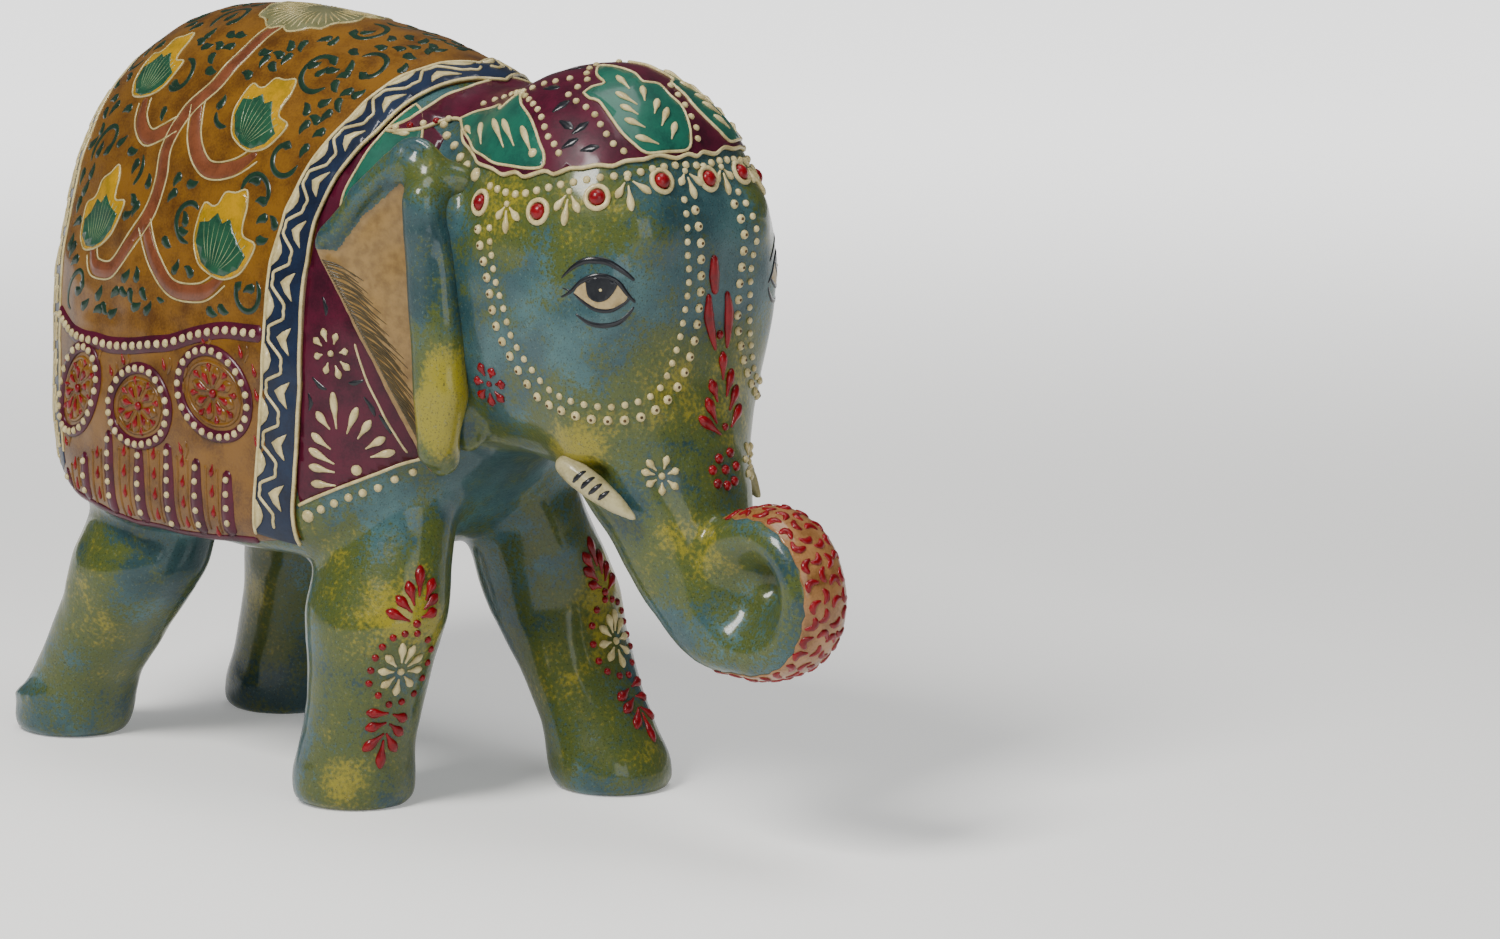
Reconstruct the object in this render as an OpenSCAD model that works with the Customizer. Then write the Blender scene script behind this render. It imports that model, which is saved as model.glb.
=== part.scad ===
// Painted wooden elephant, glued up from carved blocks and dowels.
// Frame: +X towards the trunk, +Y to the elephant's left, +Z up, ground at z = 0.

/* [Body] */
// Height of the back above the ground
back_height = 230; // [190:1:276]
// Length of the body from the rump to the neck joint
body_length = 168; // [140:1:202]
// Width of the body across the flanks
body_width = 118; // [98:1:142]
// Height of the belly, as a share of the back height
belly_share = 0.313; // [0.29:0.005:0.34]

/* [Legs] */
// Height of the glue joints between the legs and the body, as a share of the back height
leg_joint_share = 0.252; // [0.24:0.005:0.27]
// Diameter of a leg at its narrowest, as a share of the body width
leg_share = 0.314; // [0.262:0.002:0.378]
// How far the front left foot is set ahead of its shoulder
front_left_stride = 28; // [10:1:34]
// How far the front right foot is set behind its shoulder
front_right_stride = 10; // [0:1:20]
// How far the rear right foot is set behind its hip
rear_right_stride = 33; // [14:1:38]
// How far the rear left foot is set behind its hip
rear_left_stride = 14; // [0:1:24]

/* [Head] */
// Length of the head from the neck joint to the forehead
head_length = 92; // [77:1:110]
// Height of the head from the jaw to the crown, as a share of the back height
head_share = 0.539; // [0.5:0.005:0.58]
// Width of the head across the cheeks, as a share of the body width
cheek_share = 0.729; // [0.68:0.005:0.76]
// Height of the jaw, as a share of the back height
jaw_share = 0.435; // [0.41:0.005:0.45]

/* [Trunk] */
// Diameter of the rolled end of the trunk
roll_diameter = 50; // [42:1:60]
// Width of the rolled end of the trunk
roll_width = 24; // [20:1:29]

/* [Ears, tusks and tail] */
// Thickness of the ear's front roll
ear_thickness = 13; // [11:0.5:16]
// Length of a tusk that shows
tusk_length = 30; // [24:1:36]
// Largest diameter of a tusk
tusk_diameter = 9; // [7:0.5:11]
// Length of the tail below its root
tail_length = 70; // [50:1:84]

/* [Cloths] */
// Thickness of the raised saddle cloth and head cloth
cloth_thickness = 1.2; // [0.8:0.1:2]

/* [Dowels] */
// Diameter of the leg, body, neck and trunk dowels
dowel_diameter = 10; // [8:0.5:12]
// Diameter of the ear pegs
ear_peg_diameter = 6; // [5:0.5:7.5]
// Radial gap for glue round each dowel, peg and tenon
glue_gap = 0.1; // [0.05:0.05:0.3]
// Spare depth at the blind end of each socket
socket_spare = 1; // [0.5:0.5:2]

/* [Hidden] */
$fn = 48;

belly_height = belly_share * back_height;
leg_joint_height = leg_joint_share * back_height;
jaw_height = jaw_share * back_height;
head_height = head_share * back_height;
head_width = cheek_share * body_width;
leg_diameter = leg_share * body_width;
// Thickness of the tail where it is glued to the rump
tail_depth = 7;
// The trunk roll's centre, as shares of the head's length and height from the jaw's rear end
roll_at = [1.20, -0.17];
// Where the leg joints stand along the body, in body lengths from the rump
rear_hip_share = 0.245;
front_hip_share = 0.895;
// How far the tail or the rearmost foot reaches behind the rump
rear_reach = max(
    tail_depth, max(rear_right_stride, rear_left_stride) + leg_diameter / 2 - rear_hip_share * body_length
);
// Rear face of the rump, placed so that the whole elephant is centred on x = 0
rump_x = rear_reach - (rear_reach + body_length + roll_at[0] * head_length + roll_diameter / 2) / 2;
neck_x = rump_x + body_length;
front_hip_x = rump_x + front_hip_share * body_length;
rear_hip_x = rump_x + rear_hip_share * body_length;
// The legs' outer sides stay just inside the flanks
leg_side = 1.08;
leg_y = 0.935 * body_width / 2 - leg_side * leg_diameter / 2;
dowel_r = dowel_diameter / 2;
bore_r = dowel_r + glue_gap;
// Half the length of each kind of dowel
leg_dowel_half = 18;
body_dowel_half = 20;
neck_dowel_half = 16;
trunk_dowel_half = 13;
ear_peg_half = 9;
// How far the neck dowels stand to each side, and their height as a share of the neck joint
neck_dowel_y = 0.144 * body_width;
neck_dowel_share = 0.45;

// A section is [inner x, inner z, outer x, outer z, half width, widest point's share, upper power, lower power].
// Body sections from the rump to the neck joint: x in body lengths, z in shares from the belly to the back.
BODY = [
    [0.000, 0.32, 0.000, 0.60, 0.28, 0.45, 2.2, 2.4],
    [0.012, 0.18, 0.012, 0.71, 0.45, 0.40, 2.1, 3.0],
    [0.050, 0.07, 0.050, 0.82, 0.67, 0.34, 2.1, 4.0],
    [0.130, 0.02, 0.135, 0.915, 0.85, 0.28, 2.1, 5.5],
    [0.270, 0.00, 0.285, 0.98, 0.96, 0.25, 2.1, 7.0],
    [0.440, 0.00, 0.460, 1.00, 1.00, 0.24, 2.1, 7.0],
    [0.620, 0.00, 0.660, 0.985, 0.99, 0.25, 2.1, 7.0],
    [0.780, 0.00, 0.860, 0.95, 0.94, 0.28, 2.1, 6.5],
    [0.900, 0.03, 0.965, 0.92, 0.84, 0.34, 2.1, 5.0],
    [1.000, 0.14, 1.020, 0.895, 0.70, 0.42, 2.2, 3.0]
];
// Head sections after the neck joint: x in head lengths from the neck, z in head heights from the jaw.
HEAD = [
    [0.10, 0.03, 0.17, 0.93, 0.92, 0.46, 2.2, 2.6],
    [0.20, 0.06, 0.35, 0.99, 0.98, 0.48, 2.2, 2.6],
    [0.32, 0.07, 0.56, 1.00, 1.00, 0.50, 2.2, 2.6],
    [0.42, 0.06, 0.76, 0.93, 0.98, 0.52, 2.2, 2.5],
    [0.50, 0.04, 0.89, 0.79, 0.95, 0.54, 2.3, 2.4],
    [0.55, 0.01, 0.95, 0.63, 0.89, 0.52, 2.3, 2.3],
    [0.58, -0.03, 0.93, 0.46, 0.79, 0.50, 2.3, 2.3],
    [0.61, -0.07, 0.93, 0.30, 0.68, 0.50, 2.3, 2.3],
    [0.635, -0.10, 0.96, 0.15, 0.57, 0.50, 2.3, 2.3],
    [0.66, -0.14, 1.01, 0.00, 0.48, 0.50, 2.3, 2.3]
];
// Trunk sections after the trunk joint, in the head's shares.
TRUNK = [
    [0.77, -0.25, 1.06, -0.10, 0.41, 0.50, 2.4, 2.4],
    [0.89, -0.33, 1.13, -0.17, 0.36, 0.50, 2.4, 2.4],
    [1.03, -0.367, 1.17, -0.21, 0.31, 0.50, 2.4, 2.4],
    [1.20, -0.365, 1.20, -0.22, 0.27, 0.50, 2.4, 2.4]
];
// Leg sections: [share of the joint height, share of the stride, fore-aft and side radius in leg radii].
LEG = [
    [0.00, 1.00, 0.90, 0.88],
    [0.05, 1.00, 1.00, 0.98],
    [0.17, 0.93, 1.01, 1.00],
    [0.32, 0.79, 0.94, 0.94],
    [0.55, 0.50, 0.97, 0.96],
    [0.80, 0.19, 1.09, 1.04],
    [1.00, 0.00, 1.28, leg_side]
];
// Tail sections: [share of the tail length, half width, depth] in millimetres below the root.
TAIL = [[0.00, 4.5, 7.0], [0.25, 4.0, 6.0], [0.60, 3.5, 5.0], [0.75, 5.0, 6.0], [0.90, 5.0, 6.0], [1.00, 2.5, 4.0]];

// Angles round half a section, from its outer end at 90 to its inner end at -90
ANGLES = [for (a = [90:-10:-90]) a];
// The saddle cloth's first and last body rings, counted in half sections, and its lowest angle
saddle_rings = [5, 15];
saddle_hem = -50;
// The head cloth's first and last head rings, counted in half sections, and its lowest angle
cap_rings = [1, 9];
cap_hem = 30;

function mm_of(row, x0, z0, length, height, half_width) = [
    x0 + row[0] * length, z0 + row[1] * height, x0 + row[2] * length, z0 + row[3] * height,
    row[4] * half_width, row[5], row[6], row[7]
];
body_sections = [
    for (row = BODY) mm_of(row, rump_x, belly_height, body_length, back_height - belly_height, body_width / 2)
];
neck = body_sections[len(BODY) - 1];
head_sections = concat([neck], [
    for (row = HEAD) mm_of(row, neck_x, jaw_height, head_length, head_height, head_width / 2)
]);
trunk_joint = head_sections[len(HEAD)];
trunk_sections = concat([trunk_joint], [
    for (row = TRUNK) mm_of(row, neck_x, jaw_height, head_length, head_height, head_width / 2)
]);
roll_centre = [neck_x + roll_at[0] * head_length, 0, jaw_height + roll_at[1] * head_height];

// Row u of a table of vectors, on a Catmull-Rom curve through its rows
function row_at(table, u) =
    let (
        last = len(table) - 1, i = min(floor(u), last - 1), t = u - i,
        a = table[max(i - 1, 0)], b = table[i], c = table[i + 1], d = table[min(i + 2, last)]
    )
    (2 * b + (c - a) * t + (2 * a - 5 * b + 4 * c - d) * t * t + (3 * b - a - 3 * c + d) * t * t * t) / 2;

// Sections of a table at every half row
function half_rows(table) = [for (k = [0:2 * (len(table) - 1)]) row_at(table, k / 2)];

// A point of a section at an angle, on the right (side -1) or left (side 1), grown outwards by some thickness
function section_point(s, angle, side, grow = 0) =
    let (
        line = [s[2] - s[0], s[3] - s[1]], span = norm(line), dir = line / span, widest = s[5] * span,
        power = 2 / (angle > 0 ? s[6] : s[7]),
        reach = (angle > 0 ? span - widest + grow : -widest - grow) * pow(abs(sin(angle)), power),
        y = (s[4] + grow) * pow(abs(cos(angle)), power)
    )
    [s[0] + dir[0] * (widest + reach), side * y, s[1] + dir[1] * (widest + reach)];

// Half a ring: down the right side, or up the left side
function half_ring(s, side) = [
    for (a = ANGLES) section_point(s, -side * a, side)
];
function whole_ring(s) = concat(
    half_ring(s, -1), [for (k = [1:len(ANGLES) - 2]) section_point(s, -ANGLES[k], 1)]
);
// A closed band over the top of a section, from the hem on one side to the hem on the other
function band_ring(s, hem, thickness) =
    let (
        up = [for (a = [hem:10:90]) [a, -1]], down = [for (a = [80:-10:hem]) [a, 1]],
        over = concat(up, down), back = [for (k = [len(over) - 1:-1:0]) over[k]]
    )
    concat(
        [for (p = over) section_point(s, p[0], p[1], thickness)],
        [for (p = back) section_point(s, p[0], p[1])]
    );

// A closed solid through rings of equally many points
module loft(rings) {
    n = len(rings[0]);
    m = len(rings);
    walls = [
        for (i = [0:m - 2], j = [0:n - 1])
            let (a = i * n + j, b = i * n + (j + 1) % n)
            each [[b + n, b, a], [a + n, b + n, a]]
    ];
    ends = [[for (j = [0:n - 1]) j], [for (j = [n - 1:-1:0]) (m - 1) * n + j]];
    polyhedron([for (r = rings) each r], concat(walls, ends), convexity = 8);
}

// A band solid: its end faces are split into four-sided cells, because the band isn't convex
module band(rings) {
    n = len(rings[0]);
    m = len(rings);
    walls = [
        for (i = [0:m - 2], j = [0:n - 1])
            let (a = i * n + j, b = i * n + (j + 1) % n)
            each [[a, b, b + n], [a, b + n, a + n]]
    ];
    ends = [
        for (e = [0, (m - 1) * n], j = [0:n / 2 - 2])
            let (a = e + j, b = e + j + 1, c = e + n - 2 - j, d = e + n - 1 - j)
            each e == 0 ? [[c, b, a], [d, c, a]] : [[a, b, c], [a, c, d]]
    ];
    polyhedron([for (r = rings) each r], concat(walls, ends), convexity = 8);
}

// Places its children at a leg's joint
module at_hip(front, side) {
    translate([front ? front_hip_x : rear_hip_x, side * leg_y, leg_joint_height]) children();
}

function oval(centre, rx, ry) = [
    for (k = [0:23]) [centre[0] + rx * cos(15 * k), centre[1] + ry * sin(15 * k), centre[2]]
];

// The dowel hole shared by a leg and the shoulder above it
module leg_bore() {
    cylinder(r = bore_r, h = 2 * (leg_dowel_half + socket_spare), center = true);
}

module leg_dowel(front, side) {
    color("tan") at_hip(front, side) cylinder(r = dowel_r, h = 2 * leg_dowel_half, center = true);
}

// A leg block, from its sole to its flat top; stride is how far ahead the foot stands
module leg(front, side, stride) {
    r = leg_diameter / 2;
    hip = [front ? front_hip_x : rear_hip_x, side * leg_y];
    rings = [
        for (k = [0:2 * (len(LEG) - 1)])
            let (s = row_at(LEG, k / 2))
            oval([hip[0] + s[1] * stride, hip[1], s[0] * leg_joint_height], s[2] * r, s[3] * r)
    ];
    color("steelblue") difference() {
        loft(rings);
        at_hip(front, side) leg_bore();
    }
}

// The short stump of a leg that is carved on the body block
module shoulder(front, side) {
    top = LEG[len(LEG) - 1];
    r = leg_diameter / 2;
    hip = [front ? front_hip_x : rear_hip_x, side * leg_y];
    rise = belly_height + 30 - leg_joint_height;
    // The stump narrows upwards inside the flank and its own half, and a front one leans back from the neck
    forwards = front ? (neck_x - 2.2 - front_hip_x - (top[2] - 0.12) * r) / 3 : 0.108 * r;
    loft([
        for (k = [0:3])
            let (
                outer = leg_y + leg_side * r - 0.0534 * body_width * k,
                inner = (leg_y - leg_side * r) * (1 - 0.244 * k)
            )
            oval(
                [hip[0] + forwards * k, side * (outer + inner) / 2, leg_joint_height + rise * k / 3],
                (top[2] - 0.04 * k) * r, (outer - inner) / 2
            )
    ]);
}

// Places its children at each body dowel, along y
module at_body_dowels() {
    for (p = [[0.16, 0.50], [0.50, 0.72], [0.80, 0.45]])
        translate([
            rump_x + p[0] * body_length, 0, belly_height + p[1] * (back_height - belly_height)
        ])
            rotate([90, 0, 0]) children();
}

// Places its children at the middle of the neck joint's dowel holes, along the joint's normal
module at_neck_dowel(side) {
    line = [neck[2] - neck[0], neck[3] - neck[1]];
    p = [neck[0], neck[1]] + neck_dowel_share * line;
    translate([p[0], side * neck_dowel_y, p[1]]) rotate([0, 90 + atan2(line[0], line[1]), 0]) children();
}

module torso_half(side) {
    color("steelblue") difference() {
        union() {
            loft([for (s = half_rows(body_sections)) half_ring(s, side)]);
            shoulder(true, side);
            shoulder(false, side);
        }
        at_hip(true, side) leg_bore();
        at_hip(false, side) leg_bore();
        at_body_dowels() cylinder(r = bore_r, h = 2 * (body_dowel_half + socket_spare), center = true);
        at_neck_dowel(side)
            cylinder(r = bore_r, h = 2 * (neck_dowel_half + socket_spare), center = true);
        tail_tenon(glue_gap, socket_spare);
    }
}

module body_dowels() {
    color("tan") at_body_dowels() cylinder(r = dowel_r, h = 2 * body_dowel_half, center = true);
}

module neck_dowels() {
    color("tan") for (side = [-1, 1])
        at_neck_dowel(side) cylinder(r = dowel_r, h = 2 * neck_dowel_half, center = true);
}

// Places its children at the trunk joint, along the joint's normal
module at_trunk_joint() {
    line = [trunk_joint[2] - trunk_joint[0], trunk_joint[3] - trunk_joint[1]];
    p = [trunk_joint[0], trunk_joint[1]] + trunk_joint[5] * line;
    translate([p[0], 0, p[1]]) rotate([0, 90 + atan2(line[0], line[1]), 0]) children();
}

module trunk_bore() {
    at_trunk_joint() cylinder(r = bore_r, h = 2 * (trunk_dowel_half + socket_spare), center = true);
}

module trunk_dowel() {
    color("tan") at_trunk_joint() cylinder(r = dowel_r, h = 2 * trunk_dowel_half, center = true);
}

// Ear frame: x forwards along the ear, y outwards from the head, z up
ear_turn = 20;
ear_root = [neck_x + 0.30 * head_length, 0.405 * head_width];
module at_ear(side) {
    mirror([0, side < 0 ? 1 : 0, 0])
        translate([ear_root[0], ear_root[1], 0]) rotate([0, 0, -ear_turn]) children();
}

// The ear's corners: [share of head length, share of head height above the jaw, corner radius]
EAR = [[-0.22, 0.77, 9], [-0.50, 0.57, 7], [-0.13, 0.09, 6], [-0.17, 0.70, 7]];
function ear_corner(k) = [EAR[k][0] * head_length, jaw_height + EAR[k][1] * head_height];
ear_rim = 5;
ear_recess = 2.5;
ear_lip = 3;

module ear_outline(inset) {
    hull() for (k = [0:3]) translate(ear_corner(k)) circle(r = EAR[k][2] - inset);
}

// Turns an outline in the ear's x and z into a board that starts at the seat
module ear_board(height) {
    rotate([90, 0, 0]) mirror([0, 0, 1]) linear_extrude(height) children();
}

module ear_roll() {
    r = ear_thickness / 2;
    top = ear_corner(3);
    tip = ear_corner(2);
    intersection() {
        hull() {
            translate([top[0], ear_thickness - r, top[1]]) sphere(r = r, $fn = 24);
            translate([tip[0], ear_thickness - r, tip[1] + 2]) sphere(r = 0.8 * r, $fn = 24);
        }
        translate([-head_length, 0, 0]) cube([2 * head_length, 2 * ear_thickness, back_height * 1.2]);
    }
}

// Places its children at the ear's peg, along the ear's y
module at_ear_peg() {
    translate([-0.155 * head_length, 0, jaw_height + 0.42 * head_height]) rotate([-90, 0, 0]) children();
}
ear_peg_depth = 6;

module ear(side) {
    color("steelblue") at_ear(side) difference() {
        union() {
            difference() {
                ear_board(ear_rim) ear_outline(0);
                translate([0, ear_rim - ear_recess, 0]) ear_board(ear_recess + 1) ear_outline(ear_lip);
            }
            ear_roll();
            at_ear_peg() cylinder(r = ear_peg_diameter, h = ear_rim);
        }
        at_ear_peg() cylinder(r = ear_peg_diameter / 2 + glue_gap, h = 2 * ear_peg_depth, center = true);
    }
}

module ear_peg(side) {
    color("tan") at_ear(side) at_ear_peg()
        translate([0, 0, ear_peg_depth - socket_spare - 2 * ear_peg_half])
            cylinder(r = ear_peg_diameter / 2, h = 2 * ear_peg_half);
}

// The flat seat and the peg socket that an ear needs in the head
module ear_seat(side) {
    at_ear(side) {
        translate([-head_length, 0, jaw_height - 10])
            cube([head_length + ear_corner(2)[0] + EAR[2][2] + 1, head_width, head_height]);
        at_ear_peg() cylinder(
            r = ear_peg_diameter / 2 + glue_gap,
            h = 2 * (2 * ear_peg_half - ear_peg_depth + 2 * socket_spare), center = true
        );
    }
}

// A tusk along its own z from its shoulder, with its tenon behind
tusk_root = [0.65, 0.11];
tusk_y = 0.305;
tusk_dip = 112;
tusk_splay = 13;
tusk_tenon = 12;
module at_tusk(side) {
    translate([
        neck_x + tusk_root[0] * head_length, side * tusk_y * head_width, jaw_height + tusk_root[1] * head_height
    ])
        rotate([0, 0, side * tusk_splay]) rotate([0, tusk_dip, 0]) children();
}

module tusk_form(grow) {
    r = tusk_diameter / 2;
    rotate_extrude() polygon(concat(
        [[0, -grow], [0.8 * r + grow, -grow]],
        [for (k = [0:9]) [r * sqrt(1 - pow(k / 10, 3)) + grow, tusk_length * (0.12 + 0.88 * k / 10)]],
        [[0, tusk_length + grow]]
    ));
    translate([0, 0, -tusk_tenon - (grow > 0 ? socket_spare : 0)])
        cylinder(r = 0.5 * r + grow, h = tusk_tenon + (grow > 0 ? socket_spare : 0));
}

module tusk(side) {
    color("ivory") at_tusk(side) tusk_form(0);
}

module head() {
    color("steelblue") difference() {
        loft([for (s = half_rows(head_sections)) whole_ring(s)]);
        for (side = [-1, 1]) {
            at_neck_dowel(side)
                cylinder(r = bore_r, h = 2 * (neck_dowel_half + socket_spare), center = true);
            ear_seat(side);
            at_tusk(side) tusk_form(glue_gap);
        }
        trunk_bore();
    }
}

// The rolled end of the trunk is a thick wheel with a dished middle
module trunk_roll() {
    r = roll_diameter / 2;
    w = roll_width / 2;
    half = concat(
        [[0, 0.62 * w], [0.18 * r, 0.66 * w], [0.34 * r, 0.90 * w], [0.52 * r, w]],
        [for (a = [75:-15:0]) [0.62 * r + 0.38 * r * cos(a), 0.25 * w + 0.75 * w * sin(a)]]
    );
    translate(roll_centre) rotate([90, 0, 0])
        rotate_extrude() polygon(concat(half, [for (k = [len(half) - 1:-1:0]) [half[k][0], -half[k][1]]]));
}

module trunk() {
    color("steelblue") difference() {
        union() {
            loft([for (s = half_rows(trunk_sections)) whole_ring(s)]);
            trunk_roll();
        }
        trunk_bore();
    }
}

// The tail's tenon, which both body halves close round
module tail_tenon(grow, spare) {
    translate([rump_x - (grow > 0 ? 1 : 3), 0, tail_root_z() - 5]) rotate([0, 90, 0])
        cylinder(r = 2.5 + grow, h = 12 + spare + (grow > 0 ? 0 : 2));
}
function tail_root_z() = belly_height + 0.58 * (back_height - belly_height);

module tail() {
    color("steelblue") union() {
        loft([
            for (k = [0:2 * (len(TAIL) - 1)])
                let (s = row_at(TAIL, k / 2))
                [for (a = [-90:18:90]) [rump_x - s[2] * cos(a), s[1] * sin(a), tail_root_z() - s[0] * tail_length]]
        ]);
        tail_tenon(0, 0);
    }
}

module saddle_cloth() {
    rows = half_rows(body_sections);
    color("peru")
        band([for (k = [saddle_rings[0]:saddle_rings[1]]) band_ring(rows[k], saddle_hem, cloth_thickness)]);
}

module head_cloth() {
    rows = half_rows(head_sections);
    color("maroon")
        band([for (k = [cap_rings[0]:cap_rings[1]]) band_ring(rows[k], cap_hem, cloth_thickness)]);
}

torso_half(-1);  // torso_right
torso_half(1);  // torso_left
head();
trunk();
ear(-1);  // ear_right
ear(1);  // ear_left
tusk(-1);  // tusk_right
tusk(1);  // tusk_left
leg(true, -1, -front_right_stride);  // leg_front_right
leg(true, 1, front_left_stride);  // leg_front_left
leg(false, -1, -rear_right_stride);  // leg_rear_right
leg(false, 1, -rear_left_stride);  // leg_rear_left
tail();
saddle_cloth();
head_cloth();
body_dowels();
neck_dowels();
trunk_dowel();
leg_dowel(true, -1);  // leg_dowel_front_right
leg_dowel(true, 1);  // leg_dowel_front_left
leg_dowel(false, -1);  // leg_dowel_rear_right
leg_dowel(false, 1);  // leg_dowel_rear_left
ear_peg(-1);  // ear_peg_right
ear_peg(1);  // ear_peg_left
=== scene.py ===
import math

import bmesh
import bpy
import numpy as np
from mathutils import Matrix, Vector, noise
from mathutils.bvhtree import BVHTree


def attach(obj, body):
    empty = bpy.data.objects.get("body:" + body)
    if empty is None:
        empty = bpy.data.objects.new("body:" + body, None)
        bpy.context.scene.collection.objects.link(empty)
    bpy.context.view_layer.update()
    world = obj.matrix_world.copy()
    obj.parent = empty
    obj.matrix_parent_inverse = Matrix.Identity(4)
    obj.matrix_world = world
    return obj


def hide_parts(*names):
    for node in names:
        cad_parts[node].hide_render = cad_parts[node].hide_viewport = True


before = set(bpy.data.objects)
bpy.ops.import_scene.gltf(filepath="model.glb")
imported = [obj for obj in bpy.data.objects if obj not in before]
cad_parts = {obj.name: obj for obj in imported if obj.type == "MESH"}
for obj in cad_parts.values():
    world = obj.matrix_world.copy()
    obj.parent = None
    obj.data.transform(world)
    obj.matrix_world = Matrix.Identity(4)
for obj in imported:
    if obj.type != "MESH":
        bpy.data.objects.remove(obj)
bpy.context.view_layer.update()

# ---------------------------------------------------------------------------------------------
# The carved blocks: two body halves, the head, the trunk and four legs, glued up on hidden dowels
# and rubbed down with filler into one skin before painting. They are cut apart here again along
# their glue joints, so that each block is a piece of its own; the two body halves stay one piece.
# ---------------------------------------------------------------------------------------------
MM = 0.001
# the neck joint, the head's length from it, the jaw, and the tops of the leg blocks
NECK_X, HEAD_L, JAW_Z, LEG_TOP = 21.47, 92.0, 100.05, 57.96
# the chest below the neck joint, where the throat begins, and a place between front and rear legs
CHEST_Z, THROAT_X, BELLY_X = 92.0, 62.0, -50.0


def along_head(share):
    """A place along the head, as a share of its length from the neck joint."""
    return NECK_X + share * HEAD_L


def add_blob(bm, centre, radii, subdivisions=3):
    """An ellipsoid of filler or wood, in millimetres."""
    matrix = Matrix.Translation(Vector(centre) * MM) @ Matrix.Diagonal([r * MM for r in radii] + [1])
    bmesh.ops.create_icosphere(bm, subdivisions=subdivisions, radius=1, matrix=matrix)


def add_rope(bm, points, radii, steps=12):
    """A soft roll: balls set close together along a path, in millimetres."""
    for (a, b), (ra, rb) in zip(zip(points, points[1:]), zip(radii, radii[1:])):
        for k in range(steps + 1):
            t = k / steps
            r = ra + (rb - ra) * t
            add_blob(bm, Vector(a).lerp(Vector(b), t), (r, r, r), 2)


def new_object(name, data):
    """An object linked into the scene."""
    obj = bpy.data.objects.new(name, data)
    bpy.context.scene.collection.objects.link(obj)
    return obj


def remeshed(bm, voxel):
    """The outer skin of everything in bm, as a new mesh of small even quads."""
    mesh = bpy.data.meshes.new("union")
    bm.to_mesh(mesh)
    bm.free()
    obj = new_object("union", mesh)
    modifier = obj.modifiers.new("remesh", "REMESH")
    modifier.mode = "VOXEL"
    modifier.voxel_size = voxel * MM
    skin = bpy.data.meshes.new_from_object(obj.evaluated_get(bpy.context.evaluated_depsgraph_get()))
    bpy.data.objects.remove(obj)
    out = bmesh.new()
    out.from_mesh(skin)
    bpy.data.meshes.remove(skin)
    return out


def smooth(bm, times, where=None):
    """Rubs the mesh down, all over or only where a test of the point in millimetres holds."""
    verts = [v for v in bm.verts if where is None or where(v.co / MM)]
    for _ in range(times):
        bmesh.ops.smooth_vert(bm, verts=verts, factor=0.5, use_axis_x=True, use_axis_y=True, use_axis_z=True)


carving = bmesh.new()
for name in (
    "torso_right", "torso_left", "head", "trunk", "leg_front_right", "leg_front_left",
    "leg_rear_right", "leg_rear_left", "ear_peg_right", "ear_peg_left", "neck_dowels", "trunk_dowel",
):
    carving.from_mesh(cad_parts[name].data)
for side in (-1, 1):
    # forehead lobes, the bulges the eyes are painted on, and the fillets in front of the ears
    add_blob(carving, (94, side * 17, 180), (15, 15, 17))
    add_blob(carving, (81, side * 25, 163), (14, 12, 10))
    add_rope(
        carving,
        [(along_head(0.17), side * 39.5, 184), (along_head(0.20), side * 37.5, 150),
         (along_head(0.22), side * 33, 116)],
        [7, 7, 5],
    )
# filler in the tusk sockets, the rear right ankle's ledge and a toe on the front right foot
for side in (-1, 1):
    add_rope(carving, [(74, side * 22, 116), (84, side * 25, 113)], [4, 4], 4)
ANKLE_X, ANKLE_Y, ANKLE_R, ANKLE_BALLS = -136, -35.2, 17.2, 24
for k in range(ANKLE_BALLS):
    angle = 2 * math.pi * k / ANKLE_BALLS
    c, s = math.cos(angle), math.sin(angle)
    add_blob(carving, (ANKLE_X + ANKLE_R * c, ANKLE_Y + ANKLE_R * s, 13 + 2.5 * c), (3, 3, 2.2), 1)
add_blob(carving, (4.5, -38, 6.5), (7, 8, 6), 2)
carving = remeshed(carving, 1.4)
# all over, then the neck, the leg tops and belly, the throat and the face
smooth(carving, 5)
smooth(carving, 16, lambda p: abs(p.x - NECK_X) < 16 and p.z > 85)
smooth(carving, 24, lambda p: 50 < p.z < 104 and p.x < 40)
smooth(carving, 14, lambda p: 70 < p.x < 112 and p.z < 112)
smooth(carving, 8, lambda p: p.x > 40 and p.z > 110)
for v in carving.verts:
    # knife marks and hand rubbing, and feet sawn flat
    p = v.co / MM
    if p.z > 1.5:
        v.co += v.normal * (noise.noise(p * 0.045) * 0.7 + noise.noise(p * 0.12) * 0.25) * MM
    if p.x > 105 and p.z < 115:
        # the hollow in each side of the rolled end, with a rough off-centre bore
        across = math.hypot(p.x - 134, p.z - 80)
        dish = 4.5 * math.exp(-((across / 13) ** 4))
        bore = 5.0 * math.exp(-((math.hypot(p.x - 138, p.z - 83) / 5.5) ** 4))
        v.co.y -= math.copysign(min(abs(p.y), 10) / 10 * (dish + bore), p.y) * MM
    v.co.z = max(v.co.z, 0)

# the neck joint from chest to crown, and the trunk joint from throat to forehead
NECK = (Vector((NECK_X, 0, 94.1)), Vector((24.83, 0, 213.4)))
TRUNK = (Vector((82.2, 0, 82.7)), Vector((114.4, 0, JAW_Z)))


def plane_of(line):
    """The plane through a joint line and the y axis, facing forwards or down the trunk."""
    way = (line[1] - line[0]).normalized()
    return line[0], Vector((way.z, 0, -way.x))


def level(z):
    """The level plane at a height, facing up."""
    return Vector((0, 0, z)), Vector((0, 0, 1))


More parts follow.
